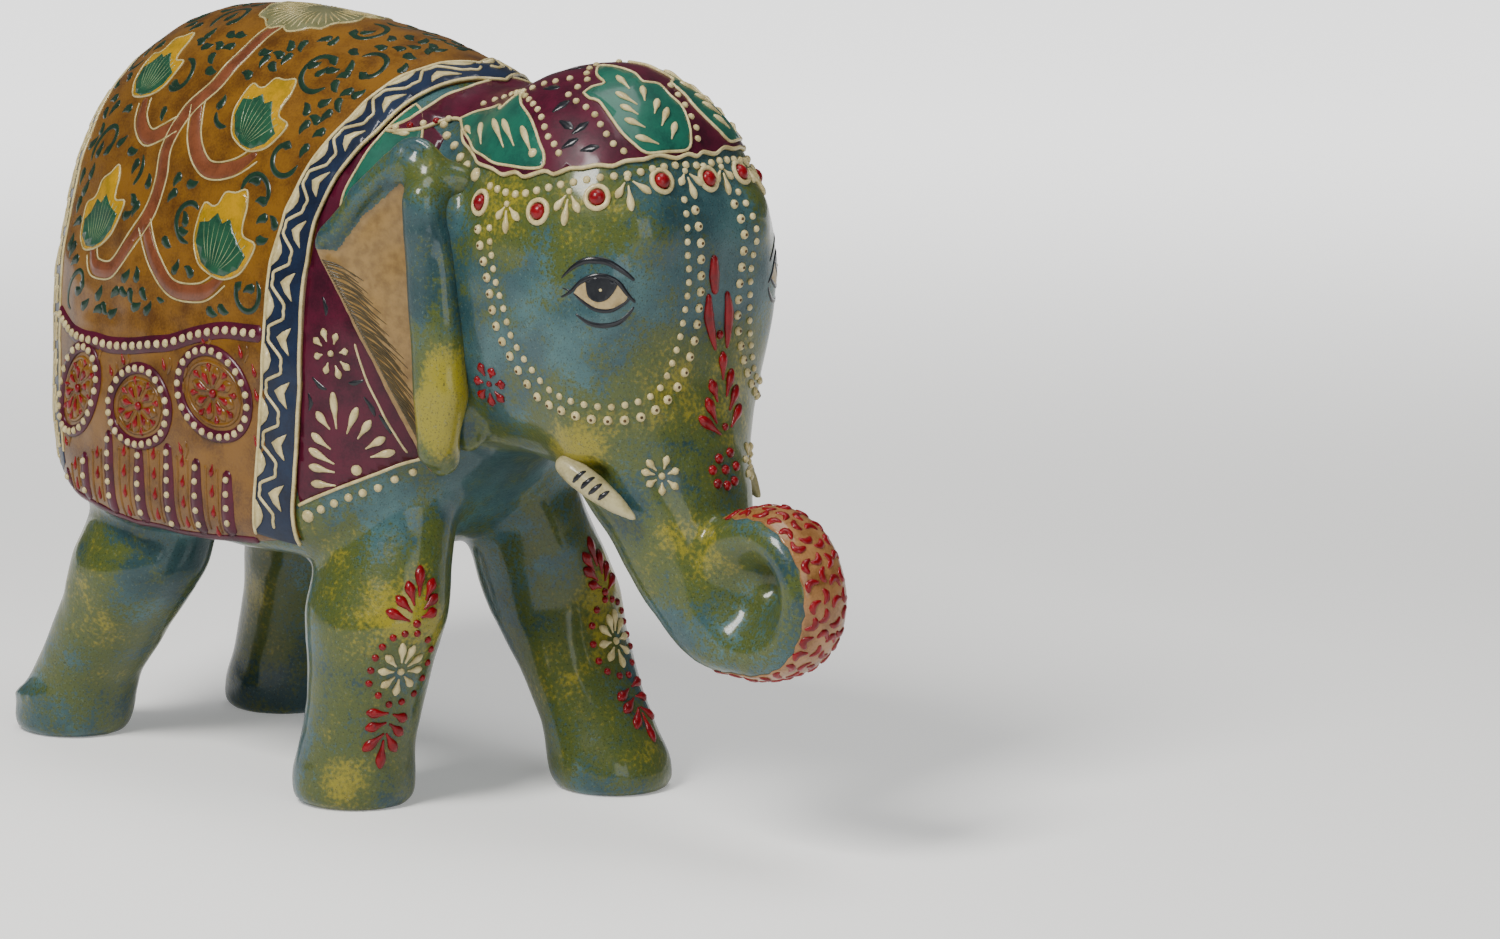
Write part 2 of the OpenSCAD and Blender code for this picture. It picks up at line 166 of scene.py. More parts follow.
def cut(bm, point, normal, where):
    """Saws the faces that a test picks out along a plane, leaving both parts in place."""
    faces = [f for f in bm.faces if where(f.calc_center_median() / MM)]
    edges = {e for f in faces for e in f.edges}
    verts = {v for f in faces for v in f.verts}
    bmesh.ops.bisect_plane(
        bm, geom=list(verts) + list(edges) + faces, dist=1e-7, plane_co=point * MM, plane_no=normal
    )


cut(carving, *plane_of(NECK), lambda p: p.z > 85 and abs(p.x - 23) < 20)
cut(carving, *level(CHEST_Z), lambda p: 15 < p.x < 60 and abs(p.z - CHEST_Z) < 10)
cut(carving, *plane_of(TRUNK), lambda p: p.x > THROAT_X)
cut(carving, *level(LEG_TOP), lambda p: p.x < THROAT_X and abs(p.z - LEG_TOP) < 8)


def block_of(p):
    """The glued block that a point of the skin belongs to."""
    if p.x < THROAT_X and p.z < LEG_TOP:
        return f"leg_{'front' if p.x > BELLY_X else 'rear'}_{'left' if p.y > 0 else 'right'}"
    point, normal = plane_of(TRUNK)
    if p.x > THROAT_X and (p - point).dot(normal) > 0:
        return "trunk"
    point, normal = plane_of(NECK)
    return "head" if (p.z > CHEST_Z or p.x > 55) and (p - point).dot(normal) > 0 else "body"


def finish_mesh(bm, name, materials, nodes=(), flat=False):
    """A finished object that rides with the figure and stands for the given nodes."""
    mesh = bpy.data.meshes.new(name)
    bm.to_mesh(mesh)
    bm.free()
    if not flat:
        mesh.polygons.foreach_set("use_smooth", [True] * len(mesh.polygons))
    for material in materials:
        mesh.materials.append(material)
    obj = new_object(name, mesh)
    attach(obj, "root")
    if nodes:
        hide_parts(*nodes)
    return obj


blocks = {}
for f in carving.faces:
    blocks.setdefault(block_of(f.calc_center_median() / MM), []).append(f.index)
skin = BVHTree.FromBMesh(carving)


def block_mesh(indices):
    """The faces of one block, closed across its glue joints."""
    bm = carving.copy()
    bm.faces.ensure_lookup_table()
    keep = set(indices)
    bmesh.ops.delete(bm, geom=[f for f in bm.faces if f.index not in keep], context="FACES")
    rim = [e for e in bm.edges if e.is_boundary]
    for e in rim:
        e.smooth = False
    filled = bmesh.ops.holes_fill(bm, edges=rim, sides=0)["faces"]
    bmesh.ops.triangulate(bm, faces=filled)
    bmesh.ops.recalc_face_normals(bm, faces=bm.faces)
    return bm


# ---------------------------------------------------------------------------------------------
# The skin, unrolled: the painter works on the carved and sanded wood, so painted and raised work is
# laid out flat in millimetres and wrapped on it. Every chart gives a point of the skin and its normal.
# ---------------------------------------------------------------------------------------------
class Girth:
    """The body's skin: x along the body, and the distance round it down from the ridge of the back."""

    CENTRE_Z, STEP = 140.0, 2.0

    def __init__(self, first, last):
        self.xs = np.arange(first, last + 1, self.STEP)
        self.angles = np.radians(np.arange(0, 141, 2.5))
        self.run = np.zeros((len(self.xs), len(self.angles)))
        for i, x in enumerate(self.xs):
            points = [self.cast(x, a, -1)[0] for a in self.angles]
            for j in range(1, len(points)):
                self.run[i, j] = self.run[i, j - 1] + (points[j] - points[j - 1]).length

    def cast(self, x, angle, side):
        """The skin where a ray leaves the body's middle at an angle from straight up."""
        origin = Vector((x, 0, self.CENTRE_Z)) * MM
        way = Vector((0, side * math.sin(angle), math.cos(angle)))
        co, normal, _, _ = skin.ray_cast(origin, way)
        return co / MM, normal

    def at(self, x, v, side):
        """The point x along and v down from the ridge, and the skin's normal there."""
        row = (np.clip(x, self.xs[0], self.xs[-1]) - self.xs[0]) / self.STEP
        i = min(int(row), len(self.xs) - 2)
        a0, a1 = (np.interp(v, self.run[k], self.angles) for k in (i, i + 1))
        return self.cast(x, a0 + (a1 - a0) * (row - i), side)


girth = Girth(-144, 24)


# ---------------------------------------------------------------------------------------------
# Paint: every finish is brushed or sponged colour under varnish, patterned in the object's own
# millimetres. Strokes laid with a small cone stand up from the skin as soft ridges and drops.
# ---------------------------------------------------------------------------------------------
def srgb(code):
    """A hex colour as linear values."""
    values = [int(code[i:i + 2], 16) / 255 for i in (1, 3, 5)]
    return [v / 12.92 if v <= 0.04045 else ((v + 0.055) / 1.055) ** 2.4 for v in values] + [1.0]


def add(tree, kind, links=None, **settings):
    """A shader node with its settings, and its inputs linked or set."""
    node = tree.nodes.new(kind)
    for key, value in settings.items():
        setattr(node, key, value)
    for key, value in (links or {}).items():
        if isinstance(value, bpy.types.NodeSocket):
            tree.links.new(value, node.inputs[key])
        else:
            node.inputs[key].default_value = value
    return node


def start_material(name):
    """An empty node material and its tree."""
    material = bpy.data.materials.new(name)
    material.use_nodes = True
    material.node_tree.nodes.clear()
    return material, material.node_tree


def grain(tree, size, detail=3.0, roughness=0.55, distortion=0.0):
    """Noise between 0 and 1 with features of about the given size in millimetres."""
    place = add(tree, "ShaderNodeTexCoord").outputs["Object"]
    return add(
        tree, "ShaderNodeTexNoise",
        {"Vector": place, "Scale": 1 / (size * MM), "Detail": detail, "Roughness": roughness,
         "Distortion": distortion},
    ).outputs["Fac"]


def maths(tree, operation, a, b):
    return add(tree, "ShaderNodeMath", {0: a, 1: b}, operation=operation).outputs[0]


def ramp(tree, value, low, high):
    """0 below low, 1 above high, and smooth between."""
    return add(
        tree, "ShaderNodeMapRange", {"Value": value, "From Min": low, "From Max": high},
        interpolation_type="SMOOTHSTEP",
    ).outputs["Result"]


def mixed(tree, amount, a, b):
    """Colour a where amount is 0 and b where it is 1; the mix node's colour sockets have numbers."""
    return add(tree, "ShaderNodeMix", {0: amount, 6: a, 7: b}, data_type="RGBA").outputs[2]


COAT_ROUGHNESS, SPECULAR = 0.12, 0.16


def varnish(tree, colour, roughness, coat, bumps=()):
    """The surface under its varnish; bumps are pairs of a height from 0 to 1 and its millimetres."""
    normal = None
    for height, size in bumps:
        links = {"Height": height, "Strength": 1.0, "Distance": size * MM}
        if normal:
            links["Normal"] = normal
        normal = add(tree, "ShaderNodeBump", links).outputs["Normal"]
    links = {
        "Base Color": colour, "Roughness": roughness, "Coat Weight": coat,
        "Coat Roughness": COAT_ROUGHNESS, "Specular IOR Level": SPECULAR,
    }
    if normal:
        links["Normal"] = normal
    shader = add(tree, "ShaderNodeBsdfPrincipled", links)
    add(tree, "ShaderNodeOutputMaterial", {"Surface": shader.outputs["BSDF"]})


def brushed(name, colour, shade, size=6.0, roughness=0.45, coat=0.45, bump=0.12):
    """One opaque paint, brushed a little unevenly, with a darker shade in random patches."""
    material, tree = start_material(name)
    cloud = grain(tree, size)
    speck = grain(tree, 0.7, 2.0)
    amount = maths(tree, "ADD", maths(tree, "MULTIPLY", cloud, 0.8), maths(tree, "MULTIPLY", speck, 0.35))
    tint = mixed(tree, ramp(tree, amount, 0.42, 0.82), srgb(colour), srgb(shade))
    varnish(tree, tint, roughness, coat, [(cloud, bump), (speck, bump * 0.4)])
    return material


def sponged_paint():
    """Blue-green ground dabbed with olive and yellow, with fine dark specks and brush streaks."""
    material, tree = start_material("sponged teal paint")
    warm = add(tree, "ShaderNodeAttribute", attribute_name="warm").outputs["Fac"]
    dabs = grain(tree, 1.1, 2.0, 0.6)
    cloud = grain(tree, 24, 3.0, 0.55, 0.4)
    small = grain(tree, 9, 3.0, 0.6)
    broken = maths(tree, "ADD", maths(tree, "MULTIPLY", maths(tree, "SUBTRACT", dabs, 0.5), 0.75),
                   maths(tree, "MULTIPLY", maths(tree, "SUBTRACT", small, 0.5), 0.5))
    level = maths(tree, "ADD", maths(tree, "ADD", cloud, broken), maths(tree, "MULTIPLY", warm, 0.42))
    ground = mixed(tree, ramp(tree, grain(tree, 15, 3.0), 0.35, 0.7), srgb("#284449"), srgb("#3A5A5C"))
    deep = mixed(tree, ramp(tree, grain(tree, 50, 2.0), 0.42, 0.62), ground, srgb("#1E383C"))
    olive = mixed(tree, ramp(tree, level, 0.47, 0.70), deep, srgb("#434D20"))
    gold = mixed(tree, ramp(tree, level, 0.76, 1.06), olive, srgb("#7F761E"))
    specks = ramp(tree, grain(tree, 0.55, 2.0, 0.7), 0.56, 0.68)
    dark = mixed(tree, maths(tree, "MULTIPLY", specks, 0.7), gold, srgb("#081D1C"))
    pale = ramp(tree, grain(tree, 0.8, 2.0, 0.6, 0.3), 0.60, 0.72)
    tint = mixed(tree, maths(tree, "MULTIPLY", pale, 0.30), dark, srgb("#61746A"))
    varnish(
        tree, tint, 0.44, 0.5,
        [(grain(tree, 5.0, 3.0), 0.34), (grain(tree, 1.5, 2.0), 0.14), (grain(tree, 0.6, 2.0), 0.06)],
    )
    return material


def catmull(points, step):
    """Evenly spaced points on a smooth curve through the given points, and their place along it."""
    points = [np.array(p, float) for p in points]
    out, place = [], []
    for i in range(len(points) - 1):
        a, b, c, d = points[max(i - 1, 0)], points[i], points[i + 1], points[min(i + 2, len(points) - 1)]
        count = max(1, int(math.ceil(np.linalg.norm(c - b) / step)))
        for k in range(count):
            t = k / count
            out.append((2 * b + (c - a) * t + (2 * a - 5 * b + 4 * c - d) * t * t
                        + (3 * b - a - 3 * c + d) * t ** 3) / 2)
            place.append(i + t)
    return out + [points[-1]], place + [len(points) - 1.0]


def along(points, gap, start=0.0, even=False):
    """Points at equal gaps along a smooth curve; even stretches the gap to fit a closed curve."""
    fine = np.array(catmull(points, gap / 6)[0])
    run = np.concatenate([[0], np.cumsum(np.linalg.norm(np.diff(fine, axis=0), axis=1))])
    if even:
        gap = run[-1] / round(run[-1] / gap)
        stops = np.arange(round(run[-1] / gap)) * gap
    else:
        stops = np.arange(start, run[-1], gap)
    return [tuple(np.interp(stop, run, fine[:, k]) for k in range(fine.shape[1])) for stop in stops]


def rounded(outline, step):
    """A smooth closed outline through the given points."""
    closed = list(outline) + [outline[0]]
    return [tuple(p) for p in catmull(closed, step)[0][:-1]]


def bead_shape():
    """The corners and faces of a ball with a radius of 1."""
    bm = bmesh.new()
    bmesh.ops.create_uvsphere(bm, u_segments=10, v_segments=6, radius=1)
    verts = np.array([v.co[:] for v in bm.verts])
    faces = [[v.index for v in f.verts] for f in bm.faces]
    bm.free()
    return verts, faces


BEAD = bead_shape()
# a drop's half widths from tail to head, and a ridge's section: across and up
DROP_WIDTHS = (0.22, 0.30, 0.42, 0.62, 0.88, 1.0, 0.92, 0.55)
RIDGE = ((-1.0, -0.5), (-0.8, 0.55), (0.0, 1.0), (0.8, 0.55), (1.0, -0.5))
# how far paint is sunk into the skin under it
ROOT = 0.6


class Paint:
    """Strokes of one paint on one area, gathered into a single mesh. Charts turn (u, w) into a point
    of the skin and its normal; widths and heights are true millimetres on the surface."""

    def __init__(self):
        self.verts, self.faces = [], []

    def bead(self, spot, radius, height, lift=0.0):
        """A round dot at a spot of a chart."""
        point, normal = spot
        side = normal.orthogonal().normalized()
        axes = np.array([side, normal.cross(side), normal])
        scaled = BEAD[0] * (radius, radius, height) + (0, 0, lift)
        first = len(self.verts)
        self.verts.extend((np.array(point) + scaled @ axes).tolist())
        self.faces.extend([[first + i for i in f] for f in BEAD[1]])

    def line(self, chart, path, width, height, lift=0.0, step=1.5, closed=False):
        """A ridge along a path; width may be one half width or one for each control point."""
        if closed:
            path = list(path) + [path[0]]
        pts, place = catmull(path, step)
        if isinstance(width, (int, float)):
            widths = [width] * len(pts)
        else:
            widths = np.interp(place, range(len(width)), width)
        spots = [chart(*p) for p in pts]
        if closed:
            spots, widths = spots[:-1], list(widths[:-1])
        count = len(spots)
        if count < 2:
            return
        largest = max(widths)
        rings = []
        for i, ((p, n), w) in enumerate(zip(spots, widths)):
            before = spots[(i - 1) % count if closed else max(i - 1, 0)][0]
            after = spots[(i + 1) % count if closed else min(i + 1, count - 1)][0]
            tangent = (after - before)
            if tangent.length < 1e-6:
                tangent = n.orthogonal()
            side = n.cross(tangent.normalized()).normalized()
            rings.append((p, side, n, tangent.normalized(), w, height * (w / largest) ** 0.7))
        if not closed:
            # rounded ends
            for end, way in ((0, -1), (-1, 1)):
                p, side, n, tangent, w, h = rings[end]
                cap = (p + tangent * way * w * 0.6, side, n, tangent, w * 0.45, h * 0.5)
                rings.insert(0, cap) if end == 0 else rings.append(cap)
        first, k = len(self.verts), len(RIDGE)
        for p, side, n, _, w, h in rings:
            for across, up in RIDGE:
                self.verts.append((p + side * (across * w) + n * (lift + up * (h if up > 0 else ROOT)))[:])
        total = len(rings)
        for i in range(total if closed else total - 1):
            a, b = first + i * k, first + ((i + 1) % total) * k
            for j in range(k):
                self.faces.append([a + j, a + (j + 1) % k, b + (j + 1) % k, b + j])
        if not closed:
            last = first + (total - 1) * k
            self.faces.append([first + j for j in reversed(range(k))])
            self.faces.append([last + j for j in range(k)])

    def drop(self, chart, tail, head, width, height, lift=0.0):
        """A teardrop pressed down at its head and drawn out to its tail."""
        tail, head = np.array(tail, float), np.array(head, float)
        last = len(DROP_WIDTHS) - 1
        path = [tail + (head - tail) * (k / last) for k in range(last + 1)]
        # a step longer than any drop adds no more points between these
        self.line(chart, path, [w * width for w in DROP_WIDTHS], height, lift, step=99)

    def patch(self, chart, outline, height, lift=0.0, cell=2.5):
        """A filled shape, cut into small cells so that it lies down on the curved skin."""
        bm = bmesh.new()
        ring = [bm.verts.new((p[0], p[1], 0)) for p in outline]
        edges = [bm.edges.new((a, b)) for a, b in zip(ring, ring[1:] + ring[:1])]
        bmesh.ops.triangle_fill(bm, use_beauty=True, edges=edges)
        low, high = np.min(outline, axis=0), np.max(outline, axis=0)
        for axis in (0, 1):
            normal = Vector((1 - axis, axis, 0))
            for c in np.arange(low[axis] + cell * 0.37, high[axis], cell):
                bmesh.ops.bisect_plane(
                    bm, geom=bm.verts[:] + bm.edges[:] + bm.faces[:], dist=1e-5,
                    plane_co=normal * float(c), plane_no=normal,
                )
        top = bmesh.ops.extrude_face_region(bm, geom=bm.faces[:])
        for item in top["geom"]:
            if isinstance(item, bmesh.types.BMVert):
                item.co.z = 1
        bmesh.ops.triangulate(bm, faces=[f for f in bm.faces if len(f.verts) > 4])
        bm.verts.index_update()
        first = len(self.verts)
        for v in bm.verts:
            point, normal = chart(v.co.x, v.co.y)
            self.verts.append((point + normal * (lift + (height if v.co.z > 0.5 else -ROOT)))[:])
        self.faces.extend([[first + v.index for v in f.verts] for f in bm.faces])
        bm.free()

    def finish(self, name, material, slot="painted_wood", nodes=()):
        """All the strokes as one object."""
        mesh = bpy.data.meshes.new(name)
        mesh.from_pydata([[c * MM for c in v] for v in self.verts], [], self.faces)
        bm = bmesh.new()
        bm.from_mesh(mesh)
        bpy.data.meshes.remove(mesh)
        bmesh.ops.recalc_face_normals(bm, faces=bm.faces)
        return finish_mesh(bm, name, [material], nodes)


def snapped(tree):
    """A chart that takes points near the skin, in millimetres, and drops them onto it."""

    def chart(x, y, z):
        co, normal, _, _ = tree.find_nearest(Vector((x, y, z)) * MM)
        return co / MM, normal

    return chart


class Board:
    """A flat drawing board held against the skin: u forwards, w up, in millimetres. The centre is
    given for the right side, and side 1 draws the mirror image on the left."""

    REACH = 14

    def __init__(self, centre, side=-1):
        centre = Vector((centre[0], -side * centre[1], centre[2]))
        co, normal, _, _ = skin.find_nearest(centre * MM)
        up = Vector((0, 0, 1))
        normals = Vector(normal)
        for k in range(10):
            # the board faces the mean way of the skin 4 mm round its centre
            turn = k * 0.628
            spread = up.cross(normal).normalized() * math.cos(turn) + up * math.sin(turn)
            normals += skin.find_nearest(co + spread * 4 * MM)[1]
        self.normal = normals.normalized()
        self.middle = co / MM
        self.right = up.cross(self.normal).normalized() * -side
        self.top = up - self.normal * up.dot(self.normal)
        self.top.normalize()

    def __call__(self, u, w):
        start = self.middle + self.right * u + self.top * w + self.normal * self.REACH
        co, normal, _, _ = skin.ray_cast(start * MM, -self.normal)
        if co is None or (co / MM - start).length > 3 * self.REACH:
            co, normal, _, _ = skin.find_nearest((start - self.normal * self.REACH) * MM)
        return co / MM, normal

    def flat(self, point):
        """The place on the board that a point lies over."""
        away = Vector(point) - self.middle
        return away.dot(self.right), away.dot(self.top)


teal = sponged_paint()
cream = brushed("cream cone paint", "#BFB182", "#9B8B5C", 4.0, 0.4, 0.25, 0.05)
crimson = brushed("crimson cone paint", "#7C0410", "#55020A", 4.0, 0.38, 0.3, 0.05)
black = brushed("black line paint", "#111319", "#1D1F23", 4.0, 0.4, 0.4, 0.04)

WARM = [
    # centre, reach and strength of the dabs of olive and yellow
    ((62, 40, 188), 18, 0.7), ((98, 32, 186), 16, 0.7), ((104, 16, 138), 20, 0.6), ((84, 34, 118), 16, 0.9),
    ((116, 12, 92), 16, 0.9), ((128, 12, 62), 16, 0.5), ((80, 30, 104), 14, 0.7), ((0, 45, 66), 24, 0.8),
    ((22, 40, 60), 14, 0.6), ((4, 50, 20), 16, 0.3), ((0, 45, 7), 14, 0.9), ((-120, 45, 48), 22, 0.9),
    ((-128, 45, 18), 14, 0.4), ((32, 20, 30), 22, 0.9), ((30, 40, 62), 16, 0.6), ((40, 38, 8), 12, 0.8),
    ((-110, 18, 40), 18, 0.8), ((55, 30, 108), 14, 0.8), ((100, 5, 118), 16, 0.5),
]


def dab(bm, extra=()):
    """Stores where the olive and yellow dabs lie thickest."""
    layer = bm.verts.layers.float.new("warm")
    places = np.array([v.co[:] for v in bm.verts]) / MM
    places[:, 1] = abs(places[:, 1])
    total = np.zeros(len(places))
    for centre, reach, strength in WARM + list(extra):
        away = ((places - np.array(centre, float)) ** 2).sum(axis=1)
        total += strength * np.exp(-away / (reach * reach))
    for v, value in zip(bm.verts, total):
        v[layer] = float(value)


NODES_OF = {"body": ("torso_right", "torso_left")}
for name, indices in blocks.items():
    block = block_mesh(indices)
    dab(block)
    finish_mesh(block, f"carved_{name}", [teal], NODES_OF.get(name, (name,)))


# ---------------------------------------------------------------------------------------------
# The glued dowels and pegs: turned from pale hardwood, bare, hidden inside the painted blocks.
# Each keeps its size from the joint it holds, with its ends eased so that it starts in its hole.
# ---------------------------------------------------------------------------------------------
def bare_wood():
    material, tree = start_material("bare dowel wood")
    place = add(tree, "ShaderNodeTexCoord").outputs["Object"]
    long = add(tree, "ShaderNodeMapping", {"Vector": place, "Scale": (60.0, 700.0, 700.0)}).outputs["Vector"]
    fibre = add(tree, "ShaderNodeTexNoise", {"Vector": long, "Scale": 1.0, "Detail": 4.0}).outputs["Fac"]
    tint = mixed(tree, ramp(tree, fibre, 0.35, 0.7), srgb("#C9A878"), srgb("#9C7748"))
    varnish(tree, tint, 0.7, 0.0, [(fibre, 0.1)])
    return material


wood = bare_wood()
for name in (
    "body_dowels", "neck_dowels", "trunk_dowel", "ear_peg_right", "ear_peg_left",
    "leg_dowel_front_right", "leg_dowel_front_left", "leg_dowel_rear_right", "leg_dowel_rear_left",
):
    dowel = bmesh.new()
    dowel.from_mesh(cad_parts[name].data)
    bmesh.ops.remove_doubles(dowel, verts=dowel.verts, dist=1e-6)
    bmesh.ops.dissolve_limit(dowel, angle_limit=0.02, verts=dowel.verts, edges=dowel.edges)
    ends = [e for e in dowel.edges if e.is_manifold and e.calc_face_angle() > 1.2]
    bmesh.ops.bevel(dowel, geom=ends, offset=0.6 * MM, segments=2, affect="EDGES")
    finish_mesh(dowel, f"{name}_wood", [wood], (name,), flat=True)


# ---------------------------------------------------------------------------------------------
# The ears: two folded flaps carved apart and pegged to the head. Each has a rounded rim above, a
# thick roll in front and a sunk panel left tan, hatched from its rear edge with thin brown strokes.
# ---------------------------------------------------------------------------------------------
# the middle of the ear's joint with the head, and its turn outwards
EAR_X, EAR_Y, EAR_TURN = 49.07, 34.84, math.radians(20)
EAR_COS, EAR_SIN = math.cos(EAR_TURN), math.sin(EAR_TURN)
PANEL_Y, HATCHES = 2.7, 74


def ear_to_world(x, y, z, side):
    """A place on an ear: x forwards along the flap, y outwards from it."""
    return Vector((EAR_X + x * EAR_COS + y * EAR_SIN, side * (EAR_Y - x * EAR_SIN + y * EAR_COS), z))


def world_to_ear(p, side):
    dx, dy = p.x - EAR_X, side * p.y - EAR_Y
    return Vector((dx * EAR_COS - dy * EAR_SIN, dx * EAR_SIN + dy * EAR_COS, p.z))


def ear_paint():
    """The sponged paint, with the sunk panel left tan wherever the bare attribute is 1."""
    material = sponged_paint()
    material.name = "ear paint with tan panel"
    tree = material.node_tree
    shader = next(n for n in tree.nodes if n.type == "BSDF_PRINCIPLED")
    painted = shader.inputs["Base Color"].links[0].from_socket
    bare = add(tree, "ShaderNodeAttribute", attribute_name="bare").outputs["Fac"]
    tan = mixed(tree, ramp(tree, grain(tree, 3.0, 4.0), 0.3, 0.75), srgb("#82673B"), srgb("#69512C"))
    tree.links.new(mixed(tree, ramp(tree, bare, 0.35, 0.65), painted, tan), shader.inputs["Base Color"])
    return material


# the front roll, the rim above and the bridge to the head
EAR_ROLLS = [
    ([(-20, 3.0, 191), (-13, 5.0, 178), (-9.5, 6.0, 152), (-8.5, 6.0, 130), (-10, 5.0, 114)],
     [4.0, 5.6, 6.6, 7.0, 4.5]),
    ([(-14, 1.5, 192), (-25, 3.0, 197.5), (-38, 3.0, 186), (-47, 2.6, 173)], [4.0, 4.6, 4.0, 2.8]),
    ([(-27, 2.0, 194), (-17, 1.5, 194), (-7, -3.0, 191)], [4.5, 5.6, 5.6]),
]
ear_finish = ear_paint()
hatch_paint = brushed("brown hatching", "#453A23", "#352E1E", 4.0, 0.5, 0.3, 0.03)
for side, name in ((-1, "right"), (1, "left")):
    ear = bmesh.new()
    ear.from_mesh(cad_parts[f"ear_{name}"].data)
    ear.from_mesh(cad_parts[f"ear_peg_{name}"].data)
    for points, radii in EAR_ROLLS:
        add_rope(ear, [ear_to_world(*p, side) for p in points], radii)
    ear = remeshed(ear, 0.9)
    smooth(ear, 7)
    smooth(ear, 22, lambda p: p.z > 178 and world_to_ear(p, side).x > -30)
    ear.normal_update()
    out = ear_to_world(0, 1, 0, side) - ear_to_world(0, 0, 0, side)
    bare = ear.verts.layers.float.new("bare")
    for v in ear.verts:
        p = world_to_ear(v.co / MM, side)
        front = np.interp(p.z, (112, 130, 150, 175, 192), (-14, -15, -15.5, -18, -21))
        panel_top = np.interp(p.x, (-46, -38, -25, -18), (169, 179, 190, 191))
        v[bare] = 1.0 if p.x < front and p.z < panel_top and p.y < 5 and v.normal.dot(out) > 0.1 else 0.0
        if v[bare] and p.y > PANEL_Y:
            # the sunk panel is pared down towards one level
            v.co -= out * ((p.y - PANEL_Y) * 0.75 * MM)
        v.co += v.normal * noise.noise(v.co / MM * 0.07) * 0.5 * MM
    smooth(ear, 3)
    dab(ear, [((48, 46, 124), 13, 2.4), ((47, 46, 140), 9, 1.0), ((38, 48, 192), 10, 0.6)])
    ear_skin = BVHTree.FromBMesh(ear)
    finish_mesh(ear, f"ear_{name}_flap", [ear_finish], (f"ear_{name}",))

    hatch = Paint()
    away = out.normalized()

    def ear_chart(x, z, side=side, tree=ear_skin, away=away):
        """The ear's outer face: x forwards along the flap and the height z."""
        start = ear_to_world(x, 22, z, side)
        co, normal, _, _ = tree.ray_cast(start * MM, -away)
        if co is None:
            co, normal, _, _ = tree.find_nearest(ear_to_world(x, 3, z, side) * MM)
        return co / MM, normal

    for k in range(HATCHES):
        t = k / (HATCHES - 1)
        x0, z0 = -50.5 + 33.5 * t, 166 - 54 * t
        tilt = math.radians(-22 - 40 * t + 4 * math.sin(k * 2.4))
        front = np.interp(z0, (100, 112, 130, 150, 175), (-14, -15, -16, -16.5, -19))
        length = min(17 - 14 * abs(t - 0.4) + 2 * math.sin(k * 1.9), (front - x0) / math.cos(tilt))
        if length > 3:
            x1, z1 = x0 + length * math.cos(tilt), z0 + length * math.sin(tilt)
            hatch.line(
                ear_chart, [(x0, z0), ((x0 + x1) / 2, (z0 + z1) / 2 + 0.9), (x1, z1)],
                [0.26, 0.24, 0.1], 0.2, step=1.4,
            )
    hatch.finish(f"ear_{name}_hatching", hatch_paint)


# ---------------------------------------------------------------------------------------------
# The tusks: short flat leaves of wood glued into slanted sockets beside the trunk, painted ivory
# with a few tapered black bars across the middle. The tail: a thin carved cord with a tuft, glued
# against the rump.
# ---------------------------------------------------------------------------------------------
ivory = brushed("ivory tusk paint", "#A89F78", "#857C55", 5.0, 0.38, 0.3, 0.08)
for side, name in ((-1, "right"), (1, "left")):
    tusk = bmesh.new()
    axis = Vector((0.83, side * -0.24, -0.50)).normalized()
    root = Vector((81.0, side * 31.5, 113.0))
    add_rope(tusk, [root + axis * k for k in (0, 4, 11, 19, 26)], [3.2, 4.0, 4.0, 3.0, 1.2], 6)
    tusk = remeshed(tusk, 0.7)
    smooth(tusk, 5)
    finish_mesh(tusk.copy(), f"tusk_{name}_ivory", [ivory], (f"tusk_{name}",))
    tusk_skin = BVHTree.FromBMesh(tusk)
    tusk.free()
    bars = Paint()
    edge = axis.cross(Vector((0.66, side * 0.75, 0.2))).normalized()
    on_tusk = snapped(tusk_skin)
    outwards = edge.cross(axis)
    if outwards.y * side < 0:
        outwards.negate()
    for k, reach in ((6.5, 0.85), (9.7, 0.9), (12.9, 0.85), (16.0, 0.75)):
        middle = root + axis * k + outwards * 4.5
        bars.line(
            on_tusk, [middle + edge * 4.2 * reach * t - axis * 0.6 * t for t in (-1, -0.4, 0.3, 1)],
            [0.3, 0.75, 0.85, 0.35], 0.2, step=1.0,
        )
    bars.finish(f"tusk_{name}_bars", black, "ivory_painted_wood")

tail = bmesh.new()
rump = [
    (skin.ray_cast(Vector((-0.25, 0, z * MM)), Vector((1, 0, 0)))[0].x / MM - out, 0, z)
    for z, out in ((167, -1.5), (158, 1.6), (145, 2.2), (128, 2.0), (112, 2.0), (104, 2.2), (96, 1.6))
]
add_rope(tail, rump[:5], [4.0, 4.4, 3.8, 3.3, 3.4])
add_rope(tail, rump[4:], [3.6, 4.6, 1.8])
tail = remeshed(tail, 0.8)
smooth(tail, 5)
dab(tail)
tail_skin = BVHTree.FromBMesh(tail)
finish_mesh(tail, "tail_cord", [teal], ("tail",))
tuft = Paint()
for k in range(9):
    y = -3.6 + 0.9 * k
    strand = [(rump[4][0] - 5, y * 0.9, 112), (rump[5][0] - 6, y, 104), (rump[6][0] - 4, y * 0.5, 95)]
    tuft.line(snapped(tail_skin), strand, [0.3, 0.4, 0.2], 0.3)
tuft.finish("tail_tuft_lines", black)


# ---------------------------------------------------------------------------------------------
# The saddle cloth: a thin raised layer of filler and ochre paint that wraps over the back, with
# rounded edges, its front and rear edges leaning back down the flanks and its hem low on the belly.
# ---------------------------------------------------------------------------------------------
CLOTH = 1.25
# where the rear border ends above the hem, and its width
REAR_END, REAR_WIDTH = 152, 9.5


def curve_of(*pairs):
    """A measure along a row of places, the same on both sides where the places start at the ridge."""
    at, values = zip(*pairs)
    return lambda v: float(np.interp(abs(v) if at[0] >= 0 else v, at, values))


